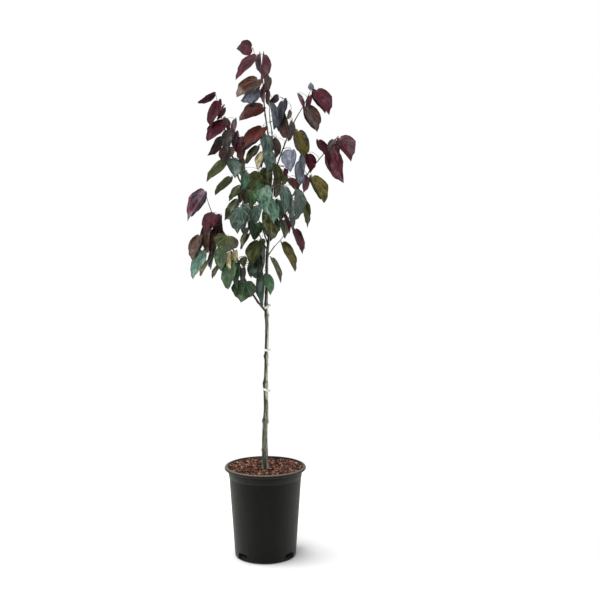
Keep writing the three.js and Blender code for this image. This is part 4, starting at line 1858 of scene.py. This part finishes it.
@dataclass
class Crown:
    """The twigs, stalks and leaves that grow on from the boughs."""

    seed: int = 23
    eye: Vector = field(default_factory=lambda: Vector(EYE))
    blade: Blade = field(default_factory=Blade)
    overlap: float = 2 * MM
    bud_spacing: float = 7 * MM
    shoot_tip: float = 0.8 * MM
    crease: float = 75
    twig_skin: SkinFinish = SkinFinish("twig_skin", (58, 50, 44), (84, 66, 58))
    stalk_skin: SkinFinish = SkinFinish("stalk_skin", (86, 44, 44), (92, 78, 62))

    def build(self, buds: list[Bud], wardrobe: Wardrobe) -> None:
        """Makes the leaves of every spray in place of its mass, and the wood that carries them.

        Args:
            buds: the places on the boughs that twigs can grow from.
            wardrobe: where the finishes come from.
        """
        chance = random.Random(self.seed)
        growth = Growth(chance, buds)
        self.shoots(growth)
        flat = self.blade.flat()
        shown = [leaf for spray in SPRAYS for leaf in spray.chosen()]
        grown: list[tuple[Spray, list[Leaf]]] = []
        for spray in SPRAYS:
            grown.append((spray, spray.chosen() + spray.filled(chance, self.eye, shown)))
        leaves = [leaf for _, some in grown for leaf in some]
        leaves.sort(key=lambda leaf: (growth.nearest(leaf.joint).place - leaf.joint).length)
        for leaf in leaves:
            growth.carry(leaf)
        for spray, some in grown:
            self.dress(spray, some, flat, wardrobe)
        put("twigs", growth.twigs, [wardrobe.of(self.twig_skin)])
        put("leaf_stalks", growth.stalks, [wardrobe.of(self.stalk_skin)])
        bpy.data.meshes.remove(flat)
        log.info("crown: %d leaves", len(leaves))

    def shoots(self, growth: Growth) -> None:
        """Carries each bough on through its spray.

        Args:
            growth: what the shoots are added to.
        """
        for bough in BOUGHS:
            route, start = bough.route()
            places = route.walk(start - self.overlap, route.reached[-1], self.bud_spacing)
            growth.lay(places, bough.radii[1] * MM, self.shoot_tip)

    def dress(self, spray: Spray, leaves: list[Leaf], flat: bpy.types.Mesh,
              wardrobe: Wardrobe) -> None:
        """Makes one spray's leaves.

        Args:
            spray: the spray.
            leaves: its leaves.
            flat: the flat blade.
            wardrobe: where the finishes come from.
        """
        tints = sorted({leaf.tint for leaf in leaves}, key=lambda tint: tint.name)
        finishes = [wardrobe.of(LeafFinish(tint, side)) for tint in tints for side in Side]
        chance = random.Random(f"{self.seed} {spray.node}")
        shape = bmesh.new()
        for leaf in leaves:
            first = 2 * tints.index(leaf.tint)
            merge(shape, self.blade.grown(flat, leaf, (first, first + 1), chance))
        put(f"{spray.node}_leaves", shape, finishes, (spray.node,), self.crease)


# ---- the studio ---------------------------------------------------------------------------------------


@dataclass
class Softbox:
    """A large soft light."""

    name: str
    place: Place
    aim: Place
    size: Range
    power: float

    def build(self) -> None:
        """Hangs the light and turns it to its aim."""
        light = bpy.data.lights.new(self.name, "AREA")
        light.shape = "RECTANGLE"
        light.size, light.size_y = self.size
        light.energy = self.power
        lamp = bpy.data.objects.new(self.name, light)
        lamp.location = self.place
        lamp.rotation_euler = (Vector(self.aim) - Vector(self.place)).to_track_quat("-Z", "Y").to_euler()
        bpy.context.scene.collection.objects.link(lamp)


@dataclass
class Skylight:
    """A very soft light from high up on one side, like an overcast sky."""

    name: str
    way: Place
    softness: float
    power: float

    def build(self) -> None:
        """Sets the light and turns it."""
        light = bpy.data.lights.new(self.name, "SUN")
        light.angle = math.radians(self.softness)
        light.energy = self.power
        lamp = bpy.data.objects.new(self.name, light)
        lamp.rotation_euler = Vector(self.way).to_track_quat("-Z", "Y").to_euler()
        bpy.context.scene.collection.objects.link(lamp)


@dataclass
class Studio:
    """A white studio: a pale floor, a bright surround, soft lights and the camera."""

    floor_half: float = 1.1
    floor_colour: Colour = (246, 246, 246)
    surround: float = 0.25
    down: float = 5.58
    right: float = 1.89
    lens: float = 64.32
    lights: tuple[Softbox | Skylight, ...] = (
        Skylight("overhead", (0.1, 0.0, -1), 22, 3.1),
        Softbox("front", (-0.8, -3.6, 2.4), (0, 0, 1.2), (2.4, 2.0), 100),
        Softbox("left_side", (-2.3, 0.2, 0.9), (0, 0, 0.5), (1.0, 2.0), 15),
        Softbox("right_side", (2.3, 0.3, 0.9), (0, 0, 0.5), (1.0, 2.0), 18),
    )

    def build(self) -> None:
        """Sets up everything that isn't the tree."""
        self.lay_floor()
        self.light_world()
        for light in self.lights:
            light.build()
        self.stand_camera()
        bpy.context.scene.view_settings.view_transform = "Standard"

    def lay_floor(self) -> None:
        """Lays the pale floor."""
        shape = bmesh.new()
        bmesh.ops.create_grid(shape, x_segments=1, y_segments=1, size=self.floor_half)
        mesh = bpy.data.meshes.new("studio_floor")
        shape.to_mesh(mesh)
        shape.free()
        recipe = Recipe("studio_floor", roughness=0.9, mirror=0.0)
        recipe.set("Base Color", linear(*self.floor_colour))
        mesh.materials.append(recipe.material)
        floor = bpy.data.objects.new("studio_floor", mesh)
        bpy.context.scene.collection.objects.link(floor)

    def light_world(self) -> None:
        """Surrounds the studio with soft light, behind a white backdrop."""
        world = bpy.data.worlds.new("studio")
        world.use_nodes = True
        tree = world.node_tree
        backdrop = tree.nodes.new("ShaderNodeBackground")
        backdrop.inputs["Color"].default_value = (1, 1, 1, 1)
        fill = tree.nodes["Background"]
        fill.inputs["Color"].default_value = (1, 1, 1, 1)
        fill.inputs["Strength"].default_value = self.surround
        seen = tree.nodes.new("ShaderNodeLightPath").outputs["Is Camera Ray"]
        mix = tree.nodes.new("ShaderNodeMixShader")
        tree.links.new(seen, mix.inputs[0])
        tree.links.new(fill.outputs[0], mix.inputs[1])
        tree.links.new(backdrop.outputs[0], mix.inputs[2])
        tree.links.new(mix.outputs[0], tree.nodes["World Output"].inputs["Surface"])
        bpy.context.scene.world = world

    def stand_camera(self) -> None:
        """Stands the camera, a little above the middle of the tree."""
        camera = bpy.data.cameras.new("camera")
        camera.lens = self.lens
        stand = bpy.data.objects.new("camera", camera)
        stand.location = EYE
        stand.rotation_euler = (math.radians(90 - self.down), 0, math.radians(-self.right))
        bpy.context.scene.collection.objects.link(stand)
        bpy.context.scene.camera = stand


def main() -> None:
    """Builds the studio and then the tree, from the pot up."""
    logging.basicConfig(level=logging.INFO, format="%(name)s: %(message)s")
    wardrobe = Wardrobe()
    Studio().build()
    Pot().build(wardrobe)
    GrowingMedium().build(wardrobe)
    trunk = Trunk()
    trunk.build(wardrobe)
    buds: list[Bud] = []
    for bough in BOUGHS:
        buds += bough.build(wardrobe)
    for tie in TIES:
        tie.build(trunk, wardrobe)
    Crown().build(buds, wardrobe)


if __name__ == "__main__":
    main()
